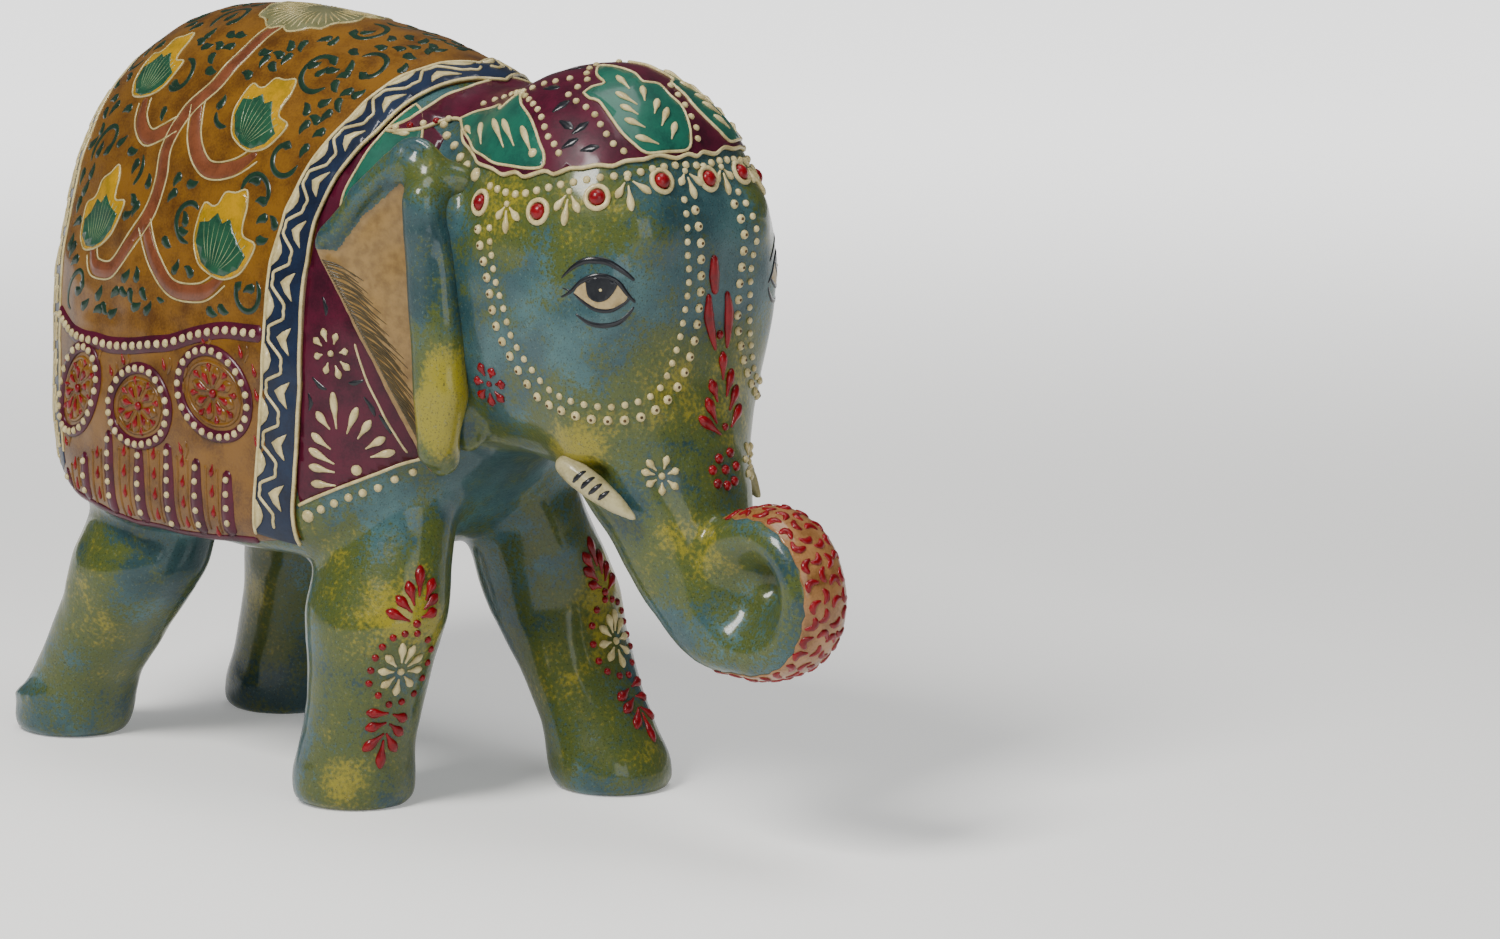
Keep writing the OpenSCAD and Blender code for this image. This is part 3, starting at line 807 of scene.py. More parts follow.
front_edge = curve_of((0, 22), (12, 15), (26, 7.5), (40, 2), (55, -4), (72, -8), (88, -8.5), (104, -7.5),
                      (121, -7), (138, -8), (168, -11))
front_width = curve_of((0, 12), (30, 11.5), (65, 12), (90, 14.5), (170, 15))
rear_edge = curve_of((0, -135), (80, -134.5), (110, -133.5), (140, -131), (170, -126))
hem = curve_of((-135, 150), (-126, 156), (-112, 167), (-104, 172), (-95, 176), (-82, 180), (-60, 181),
               (-46, 179), (-26, 174), (-11, 168), (24, 150))


def over_back(side):
    """The unrolled skin from one side's view: x along the body, v down from the ridge."""
    return lambda x, v: girth.at(x, abs(v), side if v >= 0 else -side)


saddle_paint = brushed("ochre saddle paint", "#6E4A12", "#452806", 11.0, 0.42, 0.42, 0.12)
navy = brushed("navy border paint", "#142239", "#0D1424", 8.0, 0.42, 0.25, 0.06)
plum = brushed("plum paint", "#470B22", "#2B0616", 9.0, 0.42, 0.25, 0.08)

both = over_back(-1)
saddle = bmesh.new()
bmesh.ops.create_grid(saddle, x_segments=104, y_segments=236, size=1)
grid = {}
for v in saddle.verts:
    s, t = (v.co.x + 1) / 2, v.co.y
    x = rear_edge(t * 172) + (front_edge(t * 172) - rear_edge(t * 172)) * s
    down = t * hem(x)
    inside = min((x - rear_edge(down)), (front_edge(down) - x), (hem(x) - abs(down)))
    grid[v] = (x, down, CLOTH * min(1.0, max(0.0, inside) / 1.4) ** 0.5)
under = bmesh.ops.extrude_face_region(saddle, geom=saddle.faces[:])
saddle.verts.index_update()
sunk = {v for v in under["geom"] if isinstance(v, bmesh.types.BMVert)}
known = {(round(v.co.x, 5), round(v.co.y, 5)): g for v, g in grid.items()}
for v in saddle.verts:
    x, down, height = known[(round(v.co.x, 5), round(v.co.y, 5))]
    point, normal = both(x, down)
    v.co = (point + normal * (-0.7 if v in sunk else height)) * MM
bmesh.ops.recalc_face_normals(saddle, faces=saddle.faces)
finish_mesh(saddle, "saddle_cloth_ground", [saddle_paint], ("saddle_cloth",))


def strip_outline(left, right, low, high):
    """The outline of a strip between two edges that are curves of the distance round the body."""
    levels = list(np.arange(low, high, 3.0)) + [high]
    return [(left(v), v) for v in levels] + [(right(v), v) for v in reversed(levels)]


# the solid leaves in the border wave's front and rear bends
FRONT_BEND = [
    (-2.9, 0), (-0.6, -2.2), (2.4, -4.2), (1.6, -2.4), (0.6, -0.2), (1.4, 2.2), (2.2, 4.0), (-0.8, 2.4),
]
REAR_BEND = [(-1.2, -4.6), (1.0, -2.2), (1.7, -0.4), (0.9, 2.0), (-1.2, 4.4)]
borders, cream_lines = Paint(), Paint()
front_end = hem(-18) - 0.8
fore = strip_outline(
    lambda v: front_edge(v) - front_width(v), lambda v: front_edge(v) - 0.6, -front_end, front_end
)
aft = strip_outline(lambda v: rear_edge(v) + 0.6, lambda v: rear_edge(v) + REAR_WIDTH, -REAR_END, REAR_END)
for outline in (fore, aft):
    borders.patch(both, outline, 0.14, CLOTH)
borders.finish("saddle_borders", navy, "saddle_ground")
for side in (-1, 1):
    half = over_back(side)
    down = list(np.arange(0, front_end, 4.0)) + [front_end]
    cream_lines.line(half, [(front_edge(v) - 0.7, v) for v in down], 0.6, 0.6, CLOTH)
    cream_lines.line(half, [(front_edge(v) - front_width(v), v) for v in down], 0.6, 0.6, CLOTH)
    back = list(np.arange(0, REAR_END, 4.0))
    cream_lines.line(half, [(rear_edge(v) + 0.8, v) for v in back], 0.5, 0.5, CLOTH)
    cream_lines.line(half, [(rear_edge(v) + REAR_WIDTH, v) for v in back], 0.5, 0.5, CLOTH)
    waves = ((front_edge, front_end - 4, 15.8, 1.0), (None, REAR_END - 6, 12.0, 0.6))
    for edge, reach, period, size in waves:
        # a wave with a small solid leaf in each of its bends
        def place(x, v, edge=edge):
            return half(edge(v) + x * front_width(v) / 15.0 if edge else rear_edge(v) + REAR_WIDTH + x, v)

        centre = -10.2 if edge else -5.6
        wave = [
            (centre + 3.3 * size * (math.sin(k * math.pi / 4) + 0.2 * math.sin(k * math.pi * 0.75)),
             2 + k * period / 8)
            for k in range(int(reach / period * 8))
        ]
        cream_lines.line(place, wave, 0.55, 0.6, CLOTH + 0.1)
        for k in range(int(reach / period * 2)):
            v = 2 + (k + 0.5) * period / 2
            leaf, shift = (FRONT_BEND, centre + 3.7 * size) if k % 2 else (REAR_BEND, centre - 2.9 * size)
            cream_lines.patch(
                place, [(shift + size * u, v + size * w) for u, w in leaf], 0.45, CLOTH + 0.1, cell=20
            )
cream_lines.finish("saddle_border_lines", cream, "saddle_ground")


# ---------------------------------------------------------------------------------------------
# Brushwork on the saddle's upper part: a pink vine with cream outlines climbs from a pale flower on
# the back and cradles four tulips, over dark green scrolls and comma marks on the ochre.
# ---------------------------------------------------------------------------------------------
leaf_green = brushed("dark green brushwork", "#122D1E", "#0B2017", 5.0, 0.45, 0.45, 0.03)
vine_pink = brushed("pink vine paint", "#6A3A22", "#4E2814", 6.0, 0.45, 0.45, 0.04)
tulip_yellow = brushed("yellow petal paint", "#A47B00", "#7F6404", 5.0, 0.42, 0.45, 0.04)
tulip_green = brushed("green calyx paint", "#1C4731", "#123526", 5.0, 0.42, 0.45, 0.04)
pale_green = brushed("pale line paint", "#7B8B66", "#63724C", 4.0, 0.42, 0.4, 0.03)
pale_line = brushed("thin cream line paint", "#A89C6D", "#897A4B", 4.0, 0.42, 0.4, 0.03)
sage = brushed("pale flower paint", "#686849", "#545330", 6.0, 0.42, 0.45, 0.04)


def shifted(path, distance):
    """A path moved sideways by a distance in its own plane."""
    fine, _ = catmull(path, 2.0)
    out = []
    for i, p in enumerate(fine):
        t = fine[min(i + 1, len(fine) - 1)] - fine[max(i - 1, 0)]
        t = t / max(np.linalg.norm(t), 1e-9)
        out.append(tuple(p + np.array([-t[1], t[0]]) * distance))
    return out


def standing(chart, x, v, degrees, scale):
    """A drawing that stands up the flank at (x, v), turned anticlockwise and scaled."""
    c, s = math.cos(math.radians(degrees)) * scale, math.sin(math.radians(degrees)) * scale
    return lambda u, w: chart(x + u * c - w * s, v - u * s - w * c)


VINE = [
    [(-60, 16), (-62, 26), (-67, 41), (-75, 53), (-78, 63), (-77, 74), (-79, 84), (-86, 93)],
    [(-71, 49), (-67, 60), (-58, 68), (-47, 66), (-39, 60)],
    [(-77, 56), (-88, 60), (-96, 54), (-98, 47)],
    [(-80, 87), (-73, 98), (-63, 105), (-50, 104), (-42, 98)],
    [(-85, 92), (-94, 100), (-103, 98), (-106, 92)],
]
TULIPS = [(-43, 48, -18, 11.5), (-44, 86, -12, 12.5), (-99, 35, -14, 10.5), (-104, 81, -8, 11)]
PETALS = [
    (0, -1), (-0.5, -0.92), (-0.88, -0.5), (-1.0, 0.0), (-0.98, 0.45), (-0.7, 0.48), (-0.52, 0.6),
    (-0.42, 0.95), (-0.1, 1.08), (0.2, 1.28), (0.42, 0.95), (0.5, 0.5), (0.64, 0.28), (1.06, 0.28),
    (1.0, -0.25), (0.8, -0.65), (0.4, -0.93),
]
CALYX = [
    (0, -0.95), (-0.42, -0.85), (-0.8, -0.48), (-0.9, -0.02), (-0.6, 0.12), (-0.4, 0.42), (-0.12, 0.26),
    (0.08, 0.46), (0.32, 0.24), (0.52, 0.08), (0.9, -0.1), (0.78, -0.5), (0.42, -0.85),
]
SCROLLS = [
    (-30, 29, 8.0, 40), (-14, 22, 6.0, 200), (-34, 71, 7.5, 100), (-95, 70, 8.0, 300),
    (-60, 84, 7.5, 30), (-112, 57, 6.5, 160), (-58, 50, 6.5, 250), (-27, 58, 6.0, 10),
    (-113, 101, 6.0, 120), (-86, 40, 6.5, 220), (-31, 100, 6.0, 310), (-116, 22, 7.0, 60),
    (-84, 15, 7.0, 140), (-30, 8, 6.5, 240), (-104, 8, 6.0, 20), (-68, 106, 5.5, 200),
]
# the pale flower's place on the ridge
FLOWER_X = -58


def clear_of(taken, p, gap=0.0):
    """Whether a place keeps its distance from every round spot that is painted already."""
    return all(math.hypot(p[0] - x, p[1] - v) > r + gap for x, v, r in taken)


scrolls, vine, vine_lines = Paint(), Paint(), Paint()
yellow, calyx, calyx_lines = Paint(), Paint(), Paint()
for side in (-1, 1):
    half = over_back(side)
    taken = []
    for path in VINE:
        vine.line(half, path, [2.0] + [2.7] * (len(path) - 2) + [1.4], 0.18, CLOTH)
        for offset in (-2.7, 2.7):
            vine_lines.line(half, shifted(path, offset), 0.32, 0.26, CLOTH)
        taken += [(p[0], p[1], 4.5) for p in catmull(path, 3.0)[0]]
    for x, v, tilt, size in TULIPS:
        flower = standing(half, x, v, tilt, size)
        cell = 2.5 / size
        yellow.patch(flower, PETALS, 0.22, CLOTH, cell)
        calyx.patch(flower, CALYX, 0.32, CLOTH, cell)
        vine_lines.line(flower, PETALS, 0.34, 0.42, CLOTH, step=0.12, closed=True)
        for k in range(-4, 5):
            lean = k / 4
            tip = (lean * 0.78, 0.12 + 0.3 * (1 - abs(lean)))
            calyx_lines.line(
                flower, [(lean * 0.12, -0.9), (lean * 0.5, -0.4), tip],
                [0.16, 0.3, 0.2], 0.42, CLOTH, step=0.15,
            )
        taken.append((x, v, size + 2.0))
    taken.append((FLOWER_X, 0, 24))
    for x, v, r, start in SCROLLS:
        arc = []
        for k in range(12):
            a = math.radians(start + k * 25)
            rr = r * (1 - 0.035 * k)
            arc.append((x + rr * math.cos(a), v + rr * math.sin(a)))
        if all(clear_of(taken, p) for p in arc):
            scrolls.line(half, arc, [0.4] + [1.1] * 9 + [1.9, 0.5], 0.14, CLOTH)
            continue
        # a scroll that runs under the vine or a flower is painted in pieces
        run = []
        for p in arc + [None]:
            if p and clear_of(taken, p):
                run.append(p)
                continue
            if len(run) > 2:
                scrolls.line(half, run, [0.4] + [1.1] * (len(run) - 2) + [0.6], 0.14, CLOTH)
            run = []
    for x, v, r, start in SCROLLS:
        taken += [
            (x + r * math.cos(math.radians(start + a)), v + r * math.sin(math.radians(start + a)), 1.6)
            for a in range(0, 300, 25)
        ]
    random = np.random.RandomState(11)
    for row in range(23):
        for column in range(25):
            x = -126 + column * 5.2 + random.uniform(-1.6, 1.6) + 2.6 * (row % 2)
            v = 3 + row * 5.0 + random.uniform(-1.4, 1.4)
            inside = rear_edge(v) + 12.5 < x < front_edge(v) - front_width(v) - 3.5
            if not inside or v > float(np.interp(x, (-119, -100, -84, -51, -24), (103, 115, 118, 111, 104))):
                continue
            if not clear_of(taken, (x, v), 1.6):
                continue
            a = random.uniform(0, 2 * math.pi)
            c, s = math.cos(a), math.sin(a)
            middle = (x - 0.5 * c + 0.5 * s, v - 0.5 * s - 0.5 * c)
            scrolls.line(
                half, [(x - 2.2 * c, v - 2.2 * s), middle, (x + 1.6 * c, v + 1.6 * s)],
                [0.3, 1.4, 1.9], 0.14, CLOTH, step=1.2,
            )
            taken.append((x, v, 1.9))
scrolls.finish("saddle_scrolls", leaf_green, "saddle_ground")
vine.finish("saddle_vine", vine_pink, "saddle_ground")
yellow.finish("saddle_tulip_petals", tulip_yellow, "saddle_ground")
calyx.finish("saddle_tulip_calyxes", tulip_green, "saddle_ground")
calyx_lines.finish("saddle_tulip_veins", pale_green, "saddle_ground")

top_flower = Paint()
lobes = []
for k in range(96):
    a = 2 * math.pi * k / 96
    r = 17.5 + 2.4 * abs(math.sin(a * 6))
    lobes.append((FLOWER_X + r * math.cos(a), r * math.sin(a)))
top_flower.patch(both, lobes, 0.2, CLOTH)
top_flower.finish("saddle_top_flower", sage, "saddle_ground")
vine_lines.line(both, lobes[::3], 0.4, 0.45, CLOTH, closed=True)
for k in range(48):
    a = 2 * math.pi * (k + 0.5) / 48
    inner, outer = (5.5 if k % 2 else 8.5), 15.5 + 2.0 * abs(math.sin(a * 6))
    vine_lines.line(
        both, [(FLOWER_X + r * math.cos(a), r * math.sin(a)) for r in (inner, (inner + outer) / 2, outer)],
        [0.2, 0.42, 0.25], 0.4, CLOTH, step=3.0,
    )
vine_lines.finish("saddle_thin_lines", pale_line, "saddle_ground")


# ---------------------------------------------------------------------------------------------
# The saddle's lower band, built up in relief: a plum strip with cream beads, roundels ringed the
# same way round red petals, and a fringe of plum stripes with rows of beads and red dashes.
# ---------------------------------------------------------------------------------------------
STRIP = [
    (-124, 103), (-119, 109), (-111, 116), (-100, 121), (-84, 124), (-65, 122), (-51, 117), (-39, 113),
    (-24, 110),
]
ROUNDELS = [(-42, 132.5, 15.0, 12.6), (-75.5, 142, 14.2, 11.6), (-109, 133.5, 12.2, 12.6)]
FRINGE = [-36, -49, -62, -75.5, -90.5, -105, -118]
# red marks on the bare ochre, and the gaps between roundels that the fringe's stripes reach up into
BAND_MARKS = [
    (-57, 128), (-58, 134), (-56, 152), (-90, 131), (-89, 147), (-25, 121), (-24, 128), (-24, 142),
    (-47, 117), (-118, 122), (-118, 146), (-64, 128), (-84, 128), (-99, 125), (-31, 117),
]
GAPS = (-57, -89, -24)


def oval(x, v, ru, rv, step):
    """Places round an oval at equal angles, in radians."""
    return [(x + ru * math.cos(a), v + rv * math.sin(a)) for a in np.arange(0, 2 * math.pi, step)]


relief, beads, reds, ochre_relief = Paint(), Paint(), Paint(), Paint()
for side in (-1, 1):
    half = over_back(side)
    relief.line(half, STRIP, 2.9, 0.8, CLOTH - 0.1)
    for p in along(STRIP, 3.9, 1.5):
        beads.bead(half(*p), 1.3, 0.95, CLOTH + 0.55)
    for x, v, ru, rv in ROUNDELS:
        ring = oval(x, v, ru, rv, math.pi / 12)
        relief.line(half, ring, 2.0, 1.1, CLOTH - 0.1, closed=True)
        for p in along(ring + ring[:1], 3.55, even=True):
            beads.bead(half(*p), 1.15, 0.9, CLOTH + 0.85)
        ochre_relief.line(half, oval(x, v, ru - 3.4, rv - 3.4, 0.52), 0.7, 0.6, CLOTH - 0.1, closed=True)
        for k in range(8):
            a = 2 * math.pi * k / 8 + 0.2
            c, s = math.cos(a), math.sin(a)
            ochre_relief.drop(
                half, (x + 2.2 * c, v + 2.2 * s), (x + 8.6 * c, v + 8.0 * s), 2.1, 0.9, CLOTH - 0.1
            )
            reds.drop(half, (x + 3.2 * c, v + 3.2 * s), (x + 6.8 * c, v + 6.4 * s), 1.15, 0.6, CLOTH + 0.55)
            a += math.pi / 8
            c, s = math.cos(a), math.sin(a)
            reds.drop(half, (x + 7.0 * c, v + 6.6 * s), (x + 9.8 * c, v + 8.8 * s), 1.05, 0.6, CLOTH + 0.1)
        reds.bead(half(x, v), 1.4, 0.9, CLOTH + 0.3)
    for x in FRINGE:
        top = 155.5 - 6.0 * max(0.0, 1 - min(abs(x - gap) for gap in GAPS) / 9.0)
        low = hem(x) - 4.0
        stripe = [(x, top), (x - 0.3, (top + low) / 2), (x - 0.6, low)]
        relief.line(half, stripe, [2.0, 3.0, 2.9], 0.8, CLOTH - 0.1)
        for p in along([(x, top + 1.5), (x - 0.6, low - 1)], 4.3):
            beads.bead(half(*p), 1.05, 0.85, CLOTH + 0.7)
    for a, b in zip(FRINGE, FRINGE[1:]):
        x = (a + b) / 2
        for v in np.arange(154, hem(x) - 5, 6.2):
            reds.drop(half, (x + 0.4, v), (x - 0.2, v + 3.4), 1.0, 0.6, CLOTH)
        for off in (-2.4, 2.2):
            ochre_relief.line(half, [(x + off, 155), (x + off - 0.4, hem(x) - 4)], 0.6, 0.5, CLOTH - 0.1)
    for x, v in BAND_MARKS:
        reds.drop(half, (x - 0.8, v - 1.6), (x + 0.6, v + 1.6), 0.85, 0.6, CLOTH)
        comma = [(x + 2.4, v - 2.4), (x + 3.0, v), (x + 2.0, v + 2.6)]
        ochre_relief.line(half, comma, [0.4, 0.8, 0.4], 0.6, CLOTH - 0.1)
    rim = [(x, hem(x) - 1.6) for x in np.arange(-117, -25, 5.0)]
    relief.line(half, rim, 1.4, 0.6, CLOTH - 0.1)
relief.finish("saddle_plum_relief", plum, "saddle_ground")
ochre_relief.finish("saddle_ochre_relief", saddle_paint, "saddle_ground")
beads.finish("saddle_beads", cream, "saddle_ground")
reds.finish("saddle_red_marks", crimson, "saddle_ground")


# ---------------------------------------------------------------------------------------------
# The plum neck panel behind each ear: flat paint edged with a cream cone line, with a small daisy
# above a fan of long drops, dark commas round them and a row of beads under its lower edge.
# ---------------------------------------------------------------------------------------------
FAN = [
    ((-2, 126), (2, 129)), ((3, 118), (4, 128)), ((10, 119), (7, 128)), ((13.5, 121), (10, 128)),
    ((16.5, 124.5), (12, 130)), ((18, 128), (13, 132)), ((-3.5, 133), (2, 135)), ((-4.5, 138), (3, 139)),
    ((-4.5, 143), (3, 141.5)), ((-4, 148), (3, 145.5)),
]
NECK_LEAF = [
    (8.5, 26), (13, 28), (17, 36), (17.5, 48), (14, 60), (8, 68), (2.5, 70), (-1.5, 64), (0.5, 50),
    (3.5, 38),
]
PANEL_FRONT = [
    (-8.5, 156), (2, 147), (12, 138), (19, 131), (23.5, 127.5), (23.5, 90), (23.5, 30),
]
PANEL_BEADS = [
    (-6.5, 159), (-2, 155), (2, 151.5), (6, 148), (9.5, 145), (13, 142), (16.5, 138), (20, 134.5),
]
PANEL_MARKS = [
    (-1.5, 117, 0.3), (10, 111, -0.6), (-5, 124, 1.5), (13.5, 116.5, 1.0), (17, 120, 1.1), (-1, 94, 1.2),
    (3, 84, 0.8), (0, 74, 1.3), (7, 62, 0.6), (12, 50, 1.2),
]
DAISY_X, DAISY_V = 2.2, 106.5
jade = brushed("jade leaf paint", "#155544", "#0E3E35", 8.0, 0.42, 0.3, 0.05)
panel, panel_cream, panel_dark, neck_leaf = Paint(), Paint(), Paint(), Paint()
for side in (-1, 1):
    half = over_back(side)
    edge = [(front_edge(v) - 0.4, v) for v in np.arange(27, 155, 4.0)]
    panel.patch(half, edge + PANEL_FRONT, 0.3)
    panel_cream.line(half, [(-9, 156.5), (2, 147.5), (12, 138.5), (19, 131.5), (23, 128.5)], 0.6, 0.7)
    panel_cream.line(half, [(10, 100), (13, 109), (16, 115), (18.5, 121), (20.5, 127)], 0.4, 0.55, 0.1)
    for head, tail in FAN:
        panel_cream.drop(half, tail, head, 1.35, 1.2, 0.2)
    neck_leaf.patch(half, rounded(NECK_LEAF, 2.0), 0.2, 0.3)
    panel_cream.line(half, NECK_LEAF, 0.45, 0.6, 0.3, closed=True)
    for x, v in ((10, 35), (11, 43), (10, 51), (7, 59)):
        panel_cream.drop(half, (x - 3.5, v + 2.5), (x + 1.5, v), 1.0, 0.9, 0.5)
    panel_cream.bead(half(9, 138), 1.7, 1.2, 0.3)
    for k in range(8):
        a = 2 * math.pi * (k + 0.35) / 8
        c, s = math.cos(a), math.sin(a)
        inner = (DAISY_X + 3.3 * c, DAISY_V + 3.3 * s)
        panel_cream.drop(half, inner, (DAISY_X + 6.0 * c, DAISY_V + 6.6 * s), 1.2, 1.1, 0.2)
    panel_cream.bead(half(DAISY_X, DAISY_V), 1.0, 0.9, 0.3)
    for k, p in enumerate(PANEL_BEADS):
        panel_cream.bead(half(*p), 2.0 if k == 0 else 1.3, 1.2)
    for x, v, turn in PANEL_MARKS:
        c, s = math.cos(turn), math.sin(turn)
        panel_dark.line(
            half, [(x - 2.4 * c, v - 2.4 * s), (x + 0.8 * s, v + 0.8 * c), (x + 2.4 * c, v + 2.4 * s)],
            [0.3, 0.95, 0.35], 0.16, 0.3,
        )
panel.finish("neck_panels", plum)
panel_cream.finish("neck_panel_cream", cream)
panel_dark.finish("neck_panel_commas", black)
neck_leaf.finish("neck_leaves", jade)


# ---------------------------------------------------------------------------------------------
# The head cap: a thin raised layer painted maroon, from the neck border over the crown to the brow,
# with a wavy cream edge, two jade leaves a side veined with cream drops, bead rows and dark marks.
# ---------------------------------------------------------------------------------------------
# the point inside the head that the crown is laid out from, the sheet's scale, and the cap's thickness
CROWN, SPREAD, CAP = Vector((55, 0, 166)), 90, 0.9


def crown_flat(p):
    """A point on the crown of the head, laid out flat as seen from inside the head."""
    way = (Vector(p) - CROWN).normalized()
    return SPREAD * way.x / (1 + way.z), SPREAD * way.y / (1 + way.z)


def crown(a, b):
    """The skin of the crown at a place on the flat sheet."""
    a, b = a / SPREAD, b / SPREAD
    q = a * a + b * b
    co, normal, _, _ = skin.ray_cast(CROWN * MM, Vector((2 * a, 2 * b, 1 - q)) / (1 + q))
    return co / MM, normal


CAP_EDGE = [
    (25, -21, 206), (33, -27, 201.5), (40, -30, 199.5), (45, -33, 198.5), (49, -35, 197),
    (57, -37, 196.5), (62, -38, 195.5), (67, -38, 197), (71, -38, 196), (77, -36, 198), (80, -35, 197),
    (84, -33, 199), (87, -31, 199), (91, -29, 200.5), (94, -26, 200), (96, -23, 201.5),
    (98, -18, 201.5), (99, -13, 202.5), (101, -8, 201.5), (101, -3, 202.5), (101.5, 0, 201.5),
]
CAP_BACK = [(20, 0, 215), (18, -12, 214), (14, -20, 211), (9, -27, 206), (4, -31, 202), (14, -27.5, 204)]
LEAF_A = [
    (26, -21, 206), (31, -19, 209), (41, -20, 212), (45, -23, 211), (49, -19, 214.5), (57, -26, 214),
    (66, -30, 210), (72, -33, 205), (75, -34, 202), (76, -36, 199), (69, -37, 198), (58, -36.5, 198),
    (50, -34, 199), (44, -32, 200), (39, -29, 201.5), (31, -24.5, 203.5),
]
LEAF_B = [
    (75, -19, 218), (75, -16, 219), (76.5, -12.5, 220), (72, -11, 222), (67, -5, 224),
    (72, -3.5, 223.5), (78, -2, 222), (82.5, -3, 221), (84, 1.5, 219.5), (88, 2, 216), (91, 3, 214),
    (94, 2.5, 211), (98, 0.5, 207), (100.5, -3, 203.5), (99, -12, 203), (98, -17, 203.5),
    (95, -19, 206), (91, -20, 209), (86, -19.5, 213), (80.5, -18.5, 216), (78, -19.5, 217),
]
VEINS_A = [
    ((31, -24, 205), (36, -26, 203)), ((39, -25, 206.5), (47, -32, 202)), ((47, -27, 208), (59, -34, 202)),
    ((53, -29, 209), (63, -34, 203)), ((63, -31, 208), (71, -35, 202)),
]
VEINS_B = [
    ((77, -8, 222), (83, -9, 219)), ((82, -13, 218), (88, -11, 215)), ((86, -15, 215), (90.5, -13, 213)),
    ((90, -17, 212), (94, -13.5, 210)), ((94, -17, 207), (97.5, -12, 205)), ((84, -5, 219.5), (88, -8, 216)),
    ((89, -4, 216), (92, -8, 213)), ((92, -3, 214), (95, -8, 210)), ((95, -3, 210), (97.5, -7, 206)),
]
CAP_ROWS = [
    [(44, -16, 215), (58, -24, 215), (67, -28, 212), (73, -31, 207), (77, -32, 205), (81, -33, 201)],
    [(64, -3, 224), (67, -10, 223), (72, -15, 221), (71, -21, 218), (75, -22, 216), (82, -22, 214),
     (87, -23, 210), (92, -23, 205), (96, -21, 203)],
    [(83, 6, 219), (91, 5, 214), (97, 4, 208), (100, 1, 203.5)],
    [(29, -16, 210), (34, -14, 212), (42, -14, 213), (51, -19, 216), (57, -18, 218), (64, -17, 220),
     (67, -14, 222)],
]
RED_ROW = [(5, -30.4, 202.6), (14, -26.5, 205.4), (24, -21, 207)]
# how far the left forehead leaf is swung round
SWING = math.radians(18)
MARKS = [
    (63, -20, 218, 0.2), (72, -25, 214.5, 1.3), (77, -27.5, 210, 0.0), (81, -26, 209, 1.4),
    (81, -30, 205.5, 1.2), (87, -28, 204.5, 0.9), (36, -8, 214, 0.4), (50, -8, 219, 1.0),
    (60, -8, 222, 0.3),
]
cap, cap_cream, cap_leaf, cap_dark, cap_red = Paint(), Paint(), Paint(), Paint(), Paint()
rim = [crown_flat(p) for p in CAP_BACK + CAP_EDGE]
rim = rim + [(a, -b) for a, b in rim[-2:0:-1]]
cap.patch(crown, rounded(rim, 2.5), CAP)
cap.finish("head_cap", plum, "maroon_ground", ("head_cloth",))
cap_cream.line(crown, rim, 0.62, 0.75, CAP * 0.6, closed=True)
for turn in (1, -1):
    swing = SWING if turn < 0 else 0

    def spot(p, swing=0, turn=turn):
        """The place on the flat sheet, on this side and swung round."""
        a, b = crown_flat(p)
        c, s = math.cos(swing), math.sin(swing)
        return a * c - b * turn * s, a * s + b * turn * c

    for leaf in (LEAF_A, LEAF_B):
        outline = [spot(p, swing if leaf is LEAF_B else 0) for p in leaf]
        cap_leaf.patch(crown, rounded(outline, 1.6), 0.25, CAP)
        cap_cream.line(crown, outline, 0.45, 0.6, CAP + 0.1, closed=True)
    for head, tail in VEINS_A:
        cap_cream.drop(crown, spot(tail), spot(head), 1.15, 1.0, CAP + 0.2)
    for head, tail in VEINS_B:
        cap_cream.drop(crown, spot(tail, swing), spot(head, swing), 1.15, 1.0, CAP + 0.2)
    for row in CAP_ROWS:
        if turn < 0 and row is CAP_ROWS[2]:
            continue
        for p in along([spot(p, swing if row is CAP_ROWS[1] else 0) for p in row], 3.4, 0.8):
            cap_cream.bead(crown(*p), 1.05, 0.9, CAP)
    for x, y, z, lean in MARKS:
        u, w = spot((x, y, z))
        c, s = math.cos(lean) * 2.2, math.sin(lean) * 2.2
        comma = [(u - c, w - s), (u + 0.2 * c, w + 0.2 * s), (u + c, w + s)]
        cap_dark.line(crown, comma, [0.5, 1.6, 0.6], 0.16, CAP)
    for k, p in enumerate(along([spot(p) for p in RED_ROW], 2.9, 1.0)):
        (cap_red if k % 2 else cap_cream).bead(crown(*p), 1.1, 0.9, CAP)
cap_cream.bead(crown(*crown_flat((71, -34.5, 202))), 1.5, 1.1, CAP)
cap_leaf.finish("head_cap_leaves", jade, "maroon_ground")
cap_cream.finish("head_cap_cream", cream, "maroon_ground")
cap_dark.finish("head_cap_marks", black, "maroon_ground")
cap_red.finish("head_cap_red_beads", crimson, "maroon_ground")


# ---------------------------------------------------------------------------------------------
# The face: cone beads in a row under the cap, red cabochons ringed in cream with drop sprays
# between them, and two bead loops round each eye. The sculptor's midline leans a little to the left.
# ---------------------------------------------------------------------------------------------
BROW_ROW = [
    (57, -39, 192), (69, -40, 191), (81, -36, 194), (92, -30, 197), (98, -23, 198), (101, -14, 199.5),
    (102, -5, 199.5), (103, 2, 198.5),
]
NECK_ROW = [(21, -24, 205), (24, -25.5, 202), (29, -27.5, 200), (35, -30, 197), (41, -33, 195.5)]
CABOCHONS = [(54, -40, 187), (78, -40, 187), (94, -32, 192), (103, -15, 196), (104, 2, 195)]
SPRAYS = [
    ((66, -41, 188), (63, -41, 183.5), (67, -42, 180), (71.5, -41, 184)),
    ((86, -35, 193), (83.5, -38, 188), (87, -38, 184), (90.5, -36, 188)),
    ((98, -24, 197), (98, -28, 192), (102, -26, 188.5), (103, -20, 193)),
    ((103, -6, 198), (104, -9, 194.5), (106, -5, 190.5), (105, -1, 194)),
]
